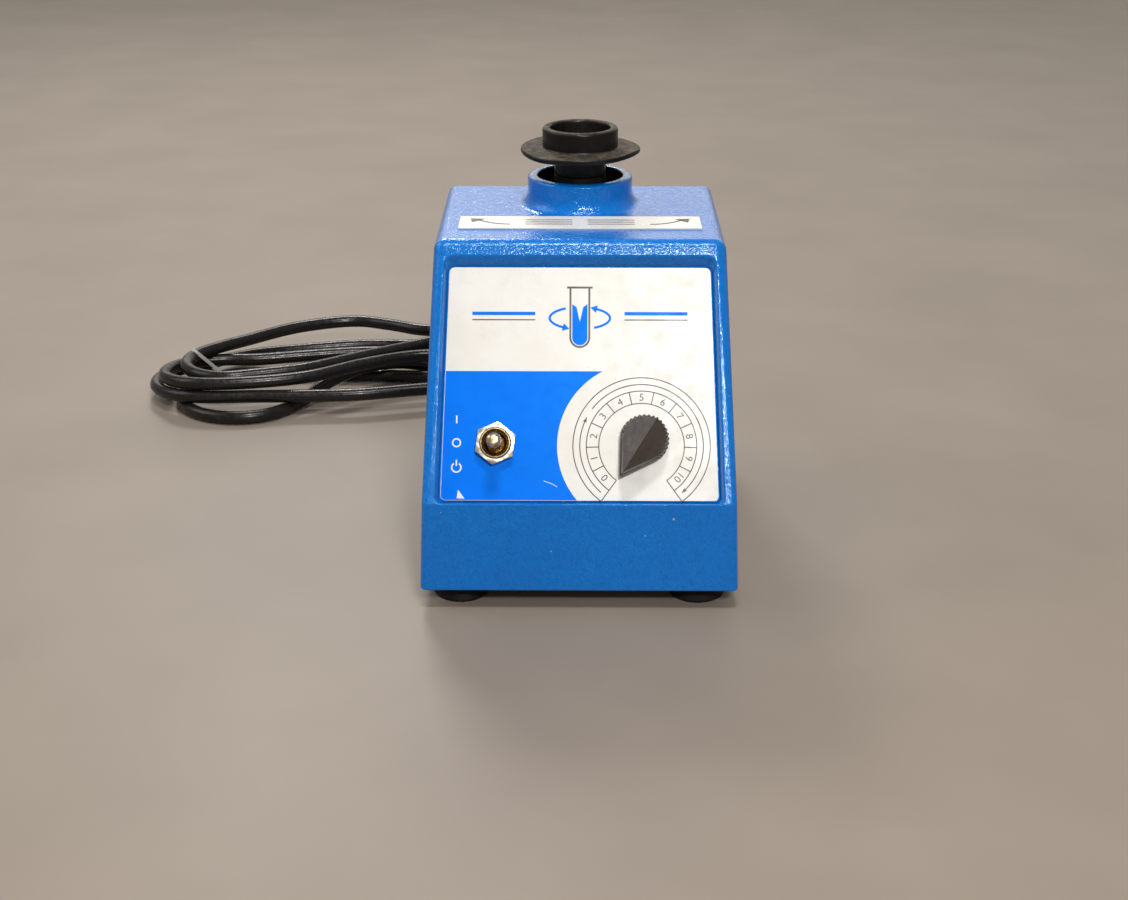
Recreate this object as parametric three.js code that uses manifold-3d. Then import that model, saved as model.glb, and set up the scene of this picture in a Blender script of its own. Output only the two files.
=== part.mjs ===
// Bench vortex mixer: a cast housing with a sloped front panel, and a rubber cup that orbits on top.
// Millimetres, +Z up, front towards -Y, origin on the bench under the middle of the housing.
import * as THREE from "three";
import { ConvexGeometry } from "three/addons/geometries/ConvexGeometry.js";
import { mergeVertices } from "three/addons/utils/BufferGeometryUtils.js";
import Module from "manifold-3d";

const wasm = await Module();
wasm.setup();

// ---- driving dimensions ----
const WIDTH = 122; // housing width at its bottom rim
const DEPTH = 165; // housing depth at its bottom rim
const RIM_Z = 8; // bottom rim above the bench
const TOP_Z = 133; // top face of the housing
const SIDE_DRAFT = 0.0408; // inward run of each side wall for each unit of height
const WALL = 3; // thickness of the cast walls
const GAP = 0.3; // gap between pieces that touch

const CHIN_Y = -80.7; // top of the upright chin below the panel
const CHIN_Z = 43.5;
const PANEL_TILT = 27.5; // degrees that the panel leans back from upright
const TOP_BACK_Y = 53; // rear edge of the top face
const PANEL_WALL = 7; // casting thickness behind the panel face
const RECESS_DEPTH = 4.2;
const LABEL_THICK = 0.6;
const LABEL_TOP = -3.3; // label face, measured from the panel face

const DIAL = { x: 24.5, up: 25, hole: 4.8 }; // control shaft on the panel, up from the chin
const SWITCH = { x: -31.8, up: 23.4, hole: 6.25 }; // toggle centre on the panel

const AXIS_Y = 24; // motor axis, in the middle of the collar
const ORBIT = 3; // offset of the eccentric pin from the motor axis
const COLLAR = { outer: 21.4, bore: 17.4, top: 144.8, flareWide: 2.2, flareTall: 5 };
const CUP = {
  rim: 165,
  outer: 15.3,
  mouth: 12.2,
  flange: 24.2,
  flangeTop: 156.7,
  flangeThick: 2.1,
  neck: 10.5,
  bowlBottom: 152,
};

const FOOT = { x: 46, y: 66, wide: 11, narrow: 9, recess: 5, recessTall: 4, shoulder: 5.5 };
const FOOT_SCREW = { r: 1.7, head: 3.9, headLow: 1.3, headHigh: 3.7, end: 22 };
const SCREW_HOLE = FOOT_SCREW.r + 0.4;
const PLATE = { bottom: RIM_Z + 0.4, thick: 2 };
const PLATE_TOP = PLATE.bottom + PLATE.thick;

const CORD = 6.4; // mains cord diameter
const EXIT = { x: 20, y: 81, z: 22, boss: 11, bossDeep: 9, hole: 5.5 }; // boss that the cord leaves
const RELIEF_LENGTH = 30;
const HANK = { left: -220, right: 0, front: 96, back: 226, tall: 27, corner: 56 };

// ---- small helpers ----
const rad = THREE.MathUtils.degToRad;
const tan = (deg) => Math.tan(rad(deg));
const vec = (x, y, z) => new THREE.Vector3(x, y, z);

function paint(color, roughness, metalness) {
  return new THREE.MeshStandardMaterial({ color, roughness, metalness });
}

const LOOK = {
  paint: paint(0x1060b0, 0.45, 0.3),
  label: paint(0xe8e8e2, 0.5, 0),
  rubber: paint(0x17181a, 0.75, 0),
  knob: paint(0x1c1a1a, 0.45, 0),
  nickel: paint(0xb9b6ad, 0.3, 1),
  brass: paint(0xb39a5c, 0.35, 1),
  steel: paint(0x8d9093, 0.4, 1),
  laminations: paint(0x55585c, 0.55, 0.8),
  copper: paint(0xa35a2c, 0.4, 0.9),
  aluminium: paint(0xa9acae, 0.45, 0.9),
  board: paint(0x2f5a33, 0.6, 0),
  plastic: paint(0x24262b, 0.5, 0),
};

// A closed geometry as a solid that can be joined and cut.
function solid(geometry) {
  const bare = geometry.index ? geometry.toNonIndexed() : geometry.clone();
  bare.deleteAttribute("normal");
  bare.deleteAttribute("uv");
  const merged = mergeVertices(bare, 1e-4);
  return new wasm.Manifold(
    new wasm.Mesh({
      numProp: 3,
      vertProperties: merged.attributes.position.array,
      triVerts: new Uint32Array(merged.index.array),
    }),
  );
}

// A solid's surface as a geometry again.
function geometryOf(body) {
  const { vertProperties, triVerts, numProp } = body.getMesh();
  const places = new Float32Array((vertProperties.length / numProp) * 3);
  for (let i = 0; i < places.length / 3; i += 1) {
    for (let k = 0; k < 3; k += 1) places[3 * i + k] = vertProperties[numProp * i + k];
  }
  const geometry = new THREE.BufferGeometry();
  geometry.setAttribute("position", new THREE.BufferAttribute(places, 3));
  geometry.setIndex(new THREE.BufferAttribute(new Uint32Array(triVerts), 1));
  geometry.computeVertexNormals();
  return geometry;
}

const join = (...parts) => geometryOf(parts.map(solid).reduce((a, b) => a.add(b)));
const cut = (part, ...tools) => geometryOf(tools.map(solid).reduce((a, b) => a.subtract(b), solid(part)));

function box(x0, x1, y0, y1, z0, z1) {
  const geometry = new THREE.BoxGeometry(x1 - x0, y1 - y0, z1 - z0);
  return geometry.translate((x0 + x1) / 2, (y0 + y1) / 2, (z0 + z1) / 2);
}

// A round bar along Z.
function rod(radius, z0, z1, x = 0, y = 0, sides = 16) {
  const geometry = new THREE.CylinderGeometry(radius, radius, z1 - z0, sides);
  return geometry.rotateX(Math.PI / 2).translate(x, y, (z0 + z1) / 2);
}

// A turned piece about Z from [radius, height] pairs listed anticlockwise, bottom first.
function turned(profile, x = 0, y = 0, sides = 18) {
  const points = profile.map(([r, z]) => new THREE.Vector2(r, z));
  return new THREE.LatheGeometry(points, sides).rotateX(Math.PI / 2).translate(x, y, 0);
}

// A ring about Z.
function ring(inner, outer, z0, z1, x = 0, y = 0, sides = 18) {
  const profile = [[inner, z0], [outer, z0], [outer, z1], [inner, z1], [inner, z0]];
  return turned(profile, x, y, sides);
}

// A rectangle with round corners, as a shape that an extrusion starts from.
function roundedShape(x0, x1, y0, y1, r) {
  const shape = new THREE.Shape();
  shape.moveTo(x0 + r, y0);
  shape.lineTo(x1 - r, y0);
  shape.absarc(x1 - r, y0 + r, r, -Math.PI / 2, 0);
  shape.lineTo(x1, y1 - r);
  shape.absarc(x1 - r, y1 - r, r, 0, Math.PI / 2);
  shape.lineTo(x0 + r, y1);
  shape.absarc(x0 + r, y1 - r, r, Math.PI / 2, Math.PI);
  shape.lineTo(x0, y0 + r);
  shape.absarc(x0 + r, y0 + r, r, Math.PI, 1.5 * Math.PI);
  return shape;
}

function hole(shape, x, y, r) {
  const path = new THREE.Path();
  path.absarc(x, y, r, 0, 2 * Math.PI, true);
  shape.holes.push(path);
  return shape;
}

function slab(shape, z0, z1, curveSegments = 4) {
  const geometry = new THREE.ExtrudeGeometry(shape, { depth: z1 - z0, bevelEnabled: false, curveSegments });
  return geometry.translate(0, 0, z0);
}

function polygonShape(points) {
  return new THREE.Shape(points.map(([x, y]) => new THREE.Vector2(x, y)));
}

const TO_X = new THREE.Matrix4().makeBasis(vec(0, 1, 0), vec(0, 0, 1), vec(1, 0, 0)); // X, Y, Z to Y, Z, X

// ---- scene graph ----
const mixer = new THREE.Group();
const panel = new THREE.Group(); // x across, y up the slope, z out of the panel face
panel.position.set(0, CHIN_Y, CHIN_Z);
panel.rotation.x = rad(90 - PANEL_TILT);
mixer.add(panel);

function piece(name, geometry, look, parent = mixer) {
  const mesh = new THREE.Mesh(geometry, look);
  mesh.name = name;
  parent.add(mesh);
  return mesh;
}

// A geometry drawn in the panel's frame, moved to the model's frame.
function fromPanel(geometry) {
  return geometry.rotateX(rad(90 - PANEL_TILT)).translate(0, CHIN_Y, CHIN_Z);
}

// ---- housing ----
const halfWidth = (z) => WIDTH / 2 - (z - RIM_Z) * SIDE_DRAFT;
const BACK_RUN = (DEPTH / 2 - TOP_BACK_Y) / (TOP_Z - RIM_Z); // lean of the back wall
const FRONT_RUN = (CHIN_Y + DEPTH / 2) / (CHIN_Z - RIM_Z); // lean of the chin

// Side outline as [y, z], with the corner radius of each, clockwise from the front bottom.
// The bottom corners lie below the rim, where the walls are cut off square.
function sideOutline() {
  const low = RIM_Z - 12;
  const topFront = CHIN_Y + (TOP_Z - CHIN_Z) * tan(PANEL_TILT);
  return [
    { y: -DEPTH / 2 - (RIM_Z - low) * FRONT_RUN, z: low, r: 2.5 },
    { y: CHIN_Y, z: CHIN_Z, r: 2.5 },
    { y: topFront, z: TOP_Z, r: 4.8 },
    { y: TOP_BACK_Y, z: TOP_Z, r: 3.5 },
    { y: DEPTH / 2 + (RIM_Z - low) * BACK_RUN, z: low, r: 2.5 },
  ];
}

// The corner of the outline moved in from the two edges beside it by the two distances given.
function movedCorner(outline, i, inBefore, inAfter) {
  const n = outline.length;
  const [a, b, c] = [outline[(i + n - 1) % n], outline[i], outline[(i + 1) % n]];
  const edge = (p, q, d) => {
    const length = Math.hypot(q.y - p.y, q.z - p.z);
    const [dy, dz] = [(q.y - p.y) / length, (q.z - p.z) / length];
    return { y: p.y + dz * d, z: p.z - dy * d, dy, dz };
  };
  const [e, f] = [edge(a, b, inBefore), edge(b, c, inAfter)];
  const turn = e.dy * f.dz - e.dz * f.dy;
  const t = ((f.y - e.y) * f.dz - (f.z - e.z) * f.dy) / turn;
  return { y: e.y + e.dy * t, z: e.z + e.dz * t };
}

// The outside skin: balls at the corners, wrapped.
function outerSkin() {
  const outline = sideOutline();
  const slant = Math.hypot(1, SIDE_DRAFT);
  const points = [];
  outline.forEach((corner, i) => {
    const { y, z } = movedCorner(outline, i, corner.r, corner.r);
    const ball = new THREE.SphereGeometry(corner.r, 12, 8).rotateX(Math.PI / 2);
    const spots = ball.attributes.position;
    const x = halfWidth(z) - corner.r * slant;
    for (let k = 0; k < spots.count; k += 1) {
      const [dx, dy, dz] = [spots.getX(k), spots.getY(k), spots.getZ(k)];
      points.push(vec(dx - x, y + dy, z + dz), vec(dx + x, y + dy, z + dz));
    }
  });
  return new ConvexGeometry(points);
}

// The hollow inside, with a thicker wall behind the recessed panel.
function innerHollow() {
  const outline = sideOutline();
  const wallOf = [WALL, PANEL_WALL, WALL, WALL, 0]; // wall of the edge that starts at each corner
  const points = outline.flatMap((_, i) => {
    const before = wallOf[(i + outline.length - 1) % outline.length];
    const { y, z } = movedCorner(outline, i, before, wallOf[i]);
    const x = halfWidth(z) - WALL;
    return [vec(-x, y, z), vec(x, y, z)];
  });
  return new ConvexGeometry(points);
}

// The pocket that the front label lies in, with slanted walls, in the panel's frame.
const POCKET = {
  mouth: { low: 0.3, high: 94.8, halfLow: 54.5, halfHigh: 51.7 },
  floor: { low: 1.3, high: 91.5, halfLow: 53.2, halfHigh: 50.3 },
};

function panelPocket() {
  const ringAt = ({ low, high, halfLow, halfHigh }, z) => [
    vec(-halfLow, low, z),
    vec(halfLow, low, z),
    vec(halfHigh, high, z),
    vec(-halfHigh, high, z),
  ];
  const { mouth, floor } = POCKET;
  const over = 1.5; // the walls carry on past the panel face
  const grow = over / RECESS_DEPTH;
  const beyond = {};
  for (const key of Object.keys(mouth)) beyond[key] = mouth[key] + (mouth[key] - floor[key]) * grow;
  return fromPanel(new ConvexGeometry([...ringAt(beyond, over), ...ringAt(floor, -RECESS_DEPTH)]));
}

// The raised ring round the neck, flared where it meets the top face.
function collar() {
  const { outer, bore, top, flareWide, flareTall } = COLLAR;
  const seat = TOP_Z + GAP;
  const profile = [[bore, seat], [outer + flareWide, seat]];
  const steps = 4;
  for (let k = 1; k <= steps; k += 1) {
    const turn = (k / steps) * (Math.PI / 2);
    profile.push([outer + flareWide * (1 - Math.sin(turn)), seat + flareTall * (1 - Math.cos(turn))]);
  }
  profile.push([outer, top - 1], [outer - 1, top], [bore, top], [bore, seat]);
  return turned(profile, 0, AXIS_Y, 28);
}

const BOSS = { r: 5, top: 28, rib: 2 };
const CORNERS = [[-1, -1], [-1, 1], [1, -1], [1, 1]]; // signs of X and Y at each foot

// A boss for each foot screw, with a rib out to the side wall.
function footBosses() {
  const bottom = PLATE_TOP + GAP;
  return CORNERS.flatMap(([sx, sy]) => {
    const [x, y] = [sx * FOOT.x, sy * FOOT.y];
    const wall = sx * (halfWidth(BOSS.top) - 1);
    const [x0, x1] = [Math.min(x, wall), Math.max(x, wall)];
    return [
      rod(BOSS.r, bottom, BOSS.top, x, y, 12),
      box(x0, x1, y - BOSS.rib, y + BOSS.rib, bottom, BOSS.top),
    ];
  });
}

function housing() {
  const below = box(-WIDTH, WIDTH, -DEPTH, DEPTH, -DEPTH, RIM_Z);
  let body = solid(outerSkin()).subtract(solid(below)).subtract(solid(innerHollow()));
  const cordBoss = rod(EXIT.boss, -EXIT.y, -EXIT.y + EXIT.bossDeep, EXIT.x, EXIT.z, 16);
  for (const part of [...footBosses(), cordBoss.rotateX(Math.PI / 2)]) body = body.add(solid(part));
  const through = 12; // reach of a drill that passes a wall
  const drills = [
    rod(COLLAR.bore, TOP_Z - through, TOP_Z + 1, 0, AXIS_Y, 28),
    panelPocket(),
    fromPanel(rod(DIAL.hole, -through, 0, DIAL.x, DIAL.up)),
    fromPanel(rod(SWITCH.hole, -through, 0, SWITCH.x, SWITCH.up)),
    rod(EXIT.hole, -EXIT.y - 5, -EXIT.y + through + 3, EXIT.x, EXIT.z, 16).rotateX(Math.PI / 2),
    ...CORNERS.map(([sx, sy]) => rod(SCREW_HOLE, RIM_Z, BOSS.top - 4, sx * FOOT.x, sy * FOOT.y, 8)),
  ];
  for (const drill of drills) body = body.subtract(solid(drill));
  return geometryOf(body);
}

piece("housing_shell", housing(), LOOK.paint);
piece("collar", collar(), LOOK.paint);

const VENT = { each: 2, pitch: 11, half: 2.5, front: -20, back: 8 }; // slots on each side of the middle one

function basePlate() {
  const [x, y] = [WIDTH / 2 - WALL - 0.5, DEPTH / 2 - WALL - 0.8];
  const shape = roundedShape(-x, x, -y, y, 3);
  for (const [sx, sy] of CORNERS) hole(shape, sx * FOOT.x, sy * FOOT.y, SCREW_HOLE);
  for (let k = -VENT.each; k <= VENT.each; k += 1) {
    const middle = k * VENT.pitch;
    shape.holes.push(roundedShape(middle - VENT.half, middle + VENT.half, VENT.front, VENT.back, 2.2));
  }
  return slab(shape, PLATE.bottom, PLATE_TOP, 4);
}

piece("base_plate", basePlate(), LOOK.steel);

// A rubber foot, recessed for the head of its screw.
function foot(x, y) {
  const { wide, narrow, recess, recessTall, shoulder } = FOOT;
  const top = PLATE.bottom - GAP;
  const profile = [[recess, 0], [wide - 0.6, 0], [wide, 0.8], [narrow, shoulder], [narrow, top]];
  profile.push([SCREW_HOLE, top], [SCREW_HOLE, recessTall], [recess, recessTall], [recess, 0]);
  return turned(profile, x, y, 16);
}

function footScrew(x, y) {
  const { r, head, headLow, headHigh, end } = FOOT_SCREW;
  const profile = [[0, headLow], [head - 0.5, headLow], [head, headLow + 0.6], [head, headHigh]];
  profile.push([r, headHigh], [r, end], [0, end]);
  return turned(profile, x, y, 10);
}

for (const [sx, sy] of CORNERS) {
  const spot = `${sy < 0 ? "front" : "rear"}_${sx < 0 ? "left" : "right"}`;
  piece(`foot_${spot}`, foot(sx * FOOT.x, sy * FOOT.y), LOOK.rubber);
  piece(`foot_screw_${spot}`, footScrew(sx * FOOT.x, sy * FOOT.y), LOOK.nickel);
}

// ---- labels ----
function frontLabel() {
  const { low, high, halfLow, halfHigh } = POCKET.floor;
  const edge = 0.5; // margin inside the pocket floor
  const lean = (halfLow - halfHigh) / (high - low);
  const [y0, y1, r] = [low + edge, high - edge, 2.2];
  const half = (y) => halfLow - edge - (y - low) * lean;
  const shape = new THREE.Shape();
  shape.moveTo(-half(y0) + r, y0);
  shape.lineTo(half(y0) - r, y0);
  shape.quadraticCurveTo(half(y0), y0, half(y0 + r), y0 + r);
  shape.lineTo(half(y1 - r), y1 - r);
  shape.quadraticCurveTo(half(y1), y1, half(y1) - r, y1);
  shape.lineTo(-half(y1) + r, y1);
  shape.quadraticCurveTo(-half(y1), y1, -half(y1 - r), y1 - r);
  shape.lineTo(-half(y0 + r), y0 + r);
  shape.quadraticCurveTo(-half(y0), y0, -half(y0) + r, y0);
  hole(shape, DIAL.x, DIAL.up, DIAL.hole);
  hole(shape, SWITCH.x, SWITCH.up, SWITCH.hole);
  return slab(shape, LABEL_TOP - LABEL_THICK, LABEL_TOP, 8);
}

piece("front_label", frontLabel(), LOOK.label, panel);
const TOP_LABEL = { half: 47.5, front: -18.8, back: -1.5, corner: 0.6, thick: 0.4 };

function topLabel() {
  const { half, front, back, corner, thick } = TOP_LABEL;
  return slab(roundedShape(-half, half, front, back, corner), TOP_Z + GAP, TOP_Z + GAP + thick, 3);
}

piece("top_label", topLabel(), LOOK.label);

// ---- motor, a shaded pole induction motor with its coil on the front leg ----
const STACK = { bottom: 44.3, top: 74.3, half: 33, front: -56, back: 32, bore: 20 };
const LEG = { front: -56, back: -40, windowBack: -26, windowHalf: 20 };
const BOLTS = [[-28, -20], [28, -20], [-28, 25], [28, 25]]; // from the motor axis
const BOLT = { r: 2, hole: 2.4, low: 37, head: 3.6, headTall: 3 };

function stator() {
  const shape = roundedShape(-STACK.half, STACK.half, STACK.front, STACK.back, 3);
  hole(shape, 0, 0, STACK.bore);
  shape.holes.push(roundedShape(-LEG.windowHalf, LEG.windowHalf, LEG.back, LEG.windowBack, 1));
  for (const [x, y] of BOLTS) hole(shape, x, y, BOLT.hole);
  return slab(shape, STACK.bottom, STACK.top, 8);
}

piece("motor_stator", stator(), LOOK.laminations).position.y = AXIS_Y;

// Wire wound round the leg: a ring seen along X.
function coil() {
  const thick = 12; // depth of the winding
  const slack = 0.4; // gap round the leg
  const [y0, y1] = [LEG.front - slack, LEG.back + slack];
  const [z0, z1] = [STACK.bottom - slack, STACK.top + slack];
  const shape = roundedShape(y0 - thick, y1 + thick, z0 - thick, z1 + thick, 9);
  shape.holes.push(roundedShape(y0, y1, z0, z1, 1));
  const reach = LEG.windowHalf - 1;
  const geometry = slab(shape, -reach, reach, 4);
  return geometry.applyMatrix4(TO_X);
}

piece("motor_coil", coil(), LOOK.copper).position.y = AXIS_Y;

const BEARING = { outer: 8, pocket: 8.3 };
const SHAFT_R = 4;
const RUNNING = 0.3; // radial clearance round the shaft
const BRACKET = { half: 36, front: -25.5, back: 31, thick: 4 };
const LOWER = { plate: 40, hub: 32, lip: 36, bearingTop: 43 };
const UPPER = { plate: 86, hub: 98, lip: 96.3, bearingBottom: 89 };
const HUB_R = 11;
const MOTOR_LEGS = [[-33, -15], [33, -15], [-33, 15], [33, 15]]; // from the motor axis
const MOTOR_LEG_R = 3;
const SPACER_R = 5; // tubes between the stack and the upper bracket

function bracketPlate(z) {
  const shape = roundedShape(-BRACKET.half, BRACKET.half, BRACKET.front, BRACKET.back, 4);
  hole(shape, 0, 0, BEARING.pocket);
  for (const [x, y] of BOLTS) hole(shape, x, y, BOLT.hole);
  return slab(shape, z, z + BRACKET.thick, 8);
}

function lowerBracket() {
  const { plate, hub, lip } = LOWER;
  const bore = SHAFT_R + RUNNING;
  const profile = [[bore, hub], [HUB_R, hub], [HUB_R, plate + 1], [BEARING.pocket, plate + 1]];
  profile.push([BEARING.pocket, lip], [bore, lip], [bore, hub]);
  const legs = MOTOR_LEGS.map(([x, y]) => rod(MOTOR_LEG_R, PLATE_TOP + GAP, plate + 1, x, y, 8));
  return join(bracketPlate(plate), turned(profile, 0, 0, 16), ...legs);
}

function upperBracket() {
  const { plate, hub, lip } = UPPER;
  const bore = SHAFT_R + RUNNING;
  const base = plate + BRACKET.thick - 1;
  const profile = [[BEARING.pocket, base], [HUB_R, base], [HUB_R, hub], [bore, hub], [bore, lip]];
  profile.push([BEARING.pocket, lip], [BEARING.pocket, base]);
  const spacers = BOLTS.map(([x, y]) => ring(BOLT.hole, SPACER_R, STACK.top + GAP, plate + 1, x, y, 8));
  return join(bracketPlate(plate), turned(profile, 0, 0, 16), ...spacers);
}

piece("motor_lower_bracket", lowerBracket(), LOOK.aluminium).position.y = AXIS_Y;
piece("motor_upper_bracket", upperBracket(), LOOK.aluminium).position.y = AXIS_Y;

BOLTS.forEach(([x, y], i) => {
  const { r, low, head, headTall } = BOLT;
  const seat = UPPER.plate + BRACKET.thick + GAP;
  const top = seat + headTall;
  const profile = [[0, low], [r, low], [r, seat], [head, seat], [head, top], [0, top]];
  piece(`motor_bolt_${i + 1}`, turned(profile, x, AXIS_Y + y, 8), LOOK.steel);
});

const bearing = (z0, z1) => ring(SHAFT_R + RUNNING, BEARING.outer, z0, z1, 0, AXIS_Y);
piece("lower_bearing", bearing(LOWER.lip + GAP, LOWER.bearingTop), LOOK.steel);
piece("upper_bearing", bearing(UPPER.bearingBottom, UPPER.lip - GAP), LOOK.steel);

// ---- spinning pieces ----
const SHAFT = { bottom: 30.3, top: 108 };
piece("motor_shaft", rod(SHAFT_R, SHAFT.bottom, SHAFT.top, 0, AXIS_Y), LOOK.nickel);
const ROTOR = { r: STACK.bore - 0.8, bottom: 46.5, top: 73 };
const rotorCore = ring(SHAFT_R + RUNNING, ROTOR.r, ROTOR.bottom, ROTOR.top, 0, AXIS_Y, 20);
piece("rotor_core", rotorCore, LOOK.laminations);

const FAN = { bottom: 77, disc: 24, discThick: 1.2, hub: 7, hubTall: 6, blades: 8 };
const BLADE = { inner: 9, outer: 23, half: 0.6, top: 5.5 }; // its top is measured from the disc's underside

function fan() {
  const z = FAN.bottom;
  const bore = SHAFT_R + RUNNING;
  const parts = [
    ring(bore, FAN.disc, z, z + FAN.discThick, 0, 0, 16),
    ring(bore, FAN.hub, z, z + FAN.hubTall, 0, 0, 16),
  ];
  for (let k = 0; k < FAN.blades; k += 1) {
    const blade = box(BLADE.inner, BLADE.outer, -BLADE.half, BLADE.half, z + 1, z + BLADE.top);
    parts.push(blade.rotateZ((k / FAN.blades) * 2 * Math.PI));
  }
  return join(...parts);
}

piece("cooling_fan", fan(), LOOK.plastic).position.y = AXIS_Y;

const ECCENTRIC = { bottom: 100.5, top: 110.5, r: 10, pin: 4, pinTop: 125.5, weight: 21, weightTop: 106.5 };

// The hub on the shaft, its offset pin, and the half disc that balances the head.
function eccentricHub() {
  const e = ECCENTRIC;
  const half = new THREE.Shape();
  half.absarc(0, 0, e.weight, rad(10), rad(170));
  const parts = [rod(e.r, e.bottom, e.top), rod(e.pin, e.top - 1, e.pinTop, 0, -ORBIT)];
  const body = join(...parts, slab(half, e.bottom, e.weightTop, 10));
  return cut(body, rod(SHAFT_R + RUNNING, e.bottom - 1, SHAFT.top + GAP));
}

piece("eccentric_hub", eccentricHub(), LOOK.steel).position.y = AXIS_Y;

// ---- head that orbits with the eccentric pin and keeps its heading ----
const HEAD_Y = AXIS_Y - ORBIT;
const CARRIER = {
  bottom: 113,
  hub: 9.5,
  hubTop: 128.5,
  pocket: 7.6,
  pocketTop: 126,
  stem: 6,
  stemTop: 149.3,
};
const HEAD_BEARING = { outer: CARRIER.pocket - GAP, bottom: CARRIER.bottom + 1, top: CARRIER.pocketTop - 1 };

function headBearing() {
  const { outer, bottom, top } = HEAD_BEARING;
  return ring(ECCENTRIC.pin + RUNNING, outer, bottom, top, 0, HEAD_Y);
}

piece("head_bearing", headBearing(), LOOK.steel);

function carrier() {
  const c = CARRIER;
  const profile = [[c.pocket, c.bottom], [c.hub, c.bottom], [c.hub, c.hubTop], [c.stem, c.hubTop]];
  profile.push([c.stem, c.stemTop], [0, c.stemTop], [0, c.pocketTop]);
  profile.push([c.pocket, c.pocketTop], [c.pocket, c.bottom]);
  return turned(profile, 0, HEAD_Y);
}

piece("head_carrier", carrier(), LOOK.aluminium);
const SLEEVE = { bottom: 128.8, top: 145.7 };
piece("neck_sleeve", ring(CARRIER.stem + GAP, CUP.neck, SLEEVE.bottom, SLEEVE.top, 0, HEAD_Y), LOOK.rubber);

function cup() {
  const c = CUP;
  const stem = CARRIER.stem + GAP;
  const under = c.flangeTop - c.flangeThick;
  const seat = CARRIER.stemTop + GAP;
  const profile = [
    [stem, SLEEVE.top + GAP],
    [c.neck, SLEEVE.top + GAP],
    [c.neck, under - 0.8],
    [c.neck + 1, under],
    [c.flange - 0.4, under],
    [c.flange, under + 0.6],
    [c.flange, c.flangeTop - 0.5],
    [c.flange - 0.4, c.flangeTop],
    [c.outer, c.flangeTop],
    [c.outer, c.rim - 1.2],
    [c.outer - 1.1, c.rim],
    [c.mouth + 0.7, c.rim],
    [c.mouth, c.rim - 0.8],
    [c.mouth - 0.4, c.bowlBottom + 6],
    [c.mouth - 1.9, c.bowlBottom + 2.8],
    [c.mouth - 5.2, c.bowlBottom + 0.8],
    [0, c.bowlBottom],
    [0, seat],
    [stem, seat],
    [stem, SLEEVE.top + GAP],
  ];
  return turned(profile, 0, HEAD_Y, 28);
}

piece("rubber_cup", cup(), LOOK.rubber);
const DUST_RING = { inner: 14.4, outer: COLLAR.bore - GAP, bottom: 136, top: 138.5 };

function dustRing() {
  const { inner, outer, bottom, top } = DUST_RING;
  return ring(inner, outer, bottom, top, 0, AXIS_Y, 24);
}

piece("dust_ring", dustRing(), LOOK.rubber);

// ---- touch switch under the shaft ----
const PIN = { r: 2, bottom: 24, head: 6, headBottom: 27.5, headTop: SHAFT.bottom - GAP };

function pushPin() {
  const { r, bottom, head, headBottom, headTop } = PIN;
  const profile = [[0, bottom], [r, bottom], [r, headBottom]];
  profile.push([head, headBottom], [head, headTop], [0, headTop]);
  return turned(profile, 0, AXIS_Y, 12);
}

piece("push_pin", pushPin(), LOOK.steel);
const CASE = { left: -17, right: 5, half: 3.2, bottom: PLATE_TOP + GAP, top: 20.7 };

// The switch's case, with its button near one end.
function touchSwitch() {
  const { left, right, half, bottom, top } = CASE;
  return join(
    box(left, right, -half, half, bottom, top),
    box(left + 1, left + 3, -2, 2, top - 1, top + 1),
  );
}

piece("touch_switch", touchSwitch(), LOOK.plastic).position.y = AXIS_Y;
const LEVER = { pivotX: -14, end: 3, low: 22, bottom: 23, top: 23.6, half: 2 };

function touchLever() {
  const { pivotX, end, low, bottom, top, half } = LEVER;
  const shape = polygonShape([
    [pivotX - 0.6, low],
    [pivotX + 0.6, low],
    [pivotX + 0.6, bottom],
    [end, bottom],
    [end, top],
    [pivotX - 0.6, top],
  ]);
  return slab(shape, -half, half).rotateX(Math.PI / 2);
}

piece("touch_lever", touchLever(), LOOK.nickel).position.y = AXIS_Y;

const ANGLE = { from: -14, to: 4, reach: 14, plate: 1.5, wall: 5, top: 20 };

// An L of steel that holds the switch to the base plate.
function switchBracket() {
  const { from, to, reach, plate, wall, top } = ANGLE;
  const near = CASE.half + GAP;
  const low = CASE.bottom;
  const foot = low + plate;
  const corners = [[near, top], [near, low], [reach, low], [reach, foot], [wall, foot], [wall, top]];
  return slab(polygonShape(corners), from, to).applyMatrix4(TO_X);
}

piece("switch_bracket", switchBracket(), LOOK.steel).position.y = AXIS_Y;

// ---- speed control on the panel ----
const POT = {
  r: 12,
  bottom: -18,
  top: -PANEL_WALL - GAP,
  bushing: 4.5,
  bushingTop: -0.9,
  bore: 3.3,
  boreBottom: -14,
  lugPitch: 5,
};
const STUB = { r: 3, bottom: -13.7, top: 6.7 }; // the shaft that the knob fits

function potentiometer() {
  const p = POT;
  const profile = [[0, p.bottom], [p.r, p.bottom], [p.r, p.top], [p.bushing, p.top]];
  profile.push([p.bushing, p.bushingTop], [p.bore, p.bushingTop], [p.bore, p.boreBottom], [0, p.boreBottom]);
  const lug = (x) => box(x - 1, x + 1, p.r - 2, p.r + 5, p.bottom + 1, p.bottom + 2);
  const lugs = [-p.lugPitch, 0, p.lugPitch].map(lug);
  return join(turned(profile, 0, 0, 20), ...lugs).translate(DIAL.x, DIAL.up, 0);
}

piece("potentiometer", potentiometer(), LOOK.steel, panel);

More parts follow.
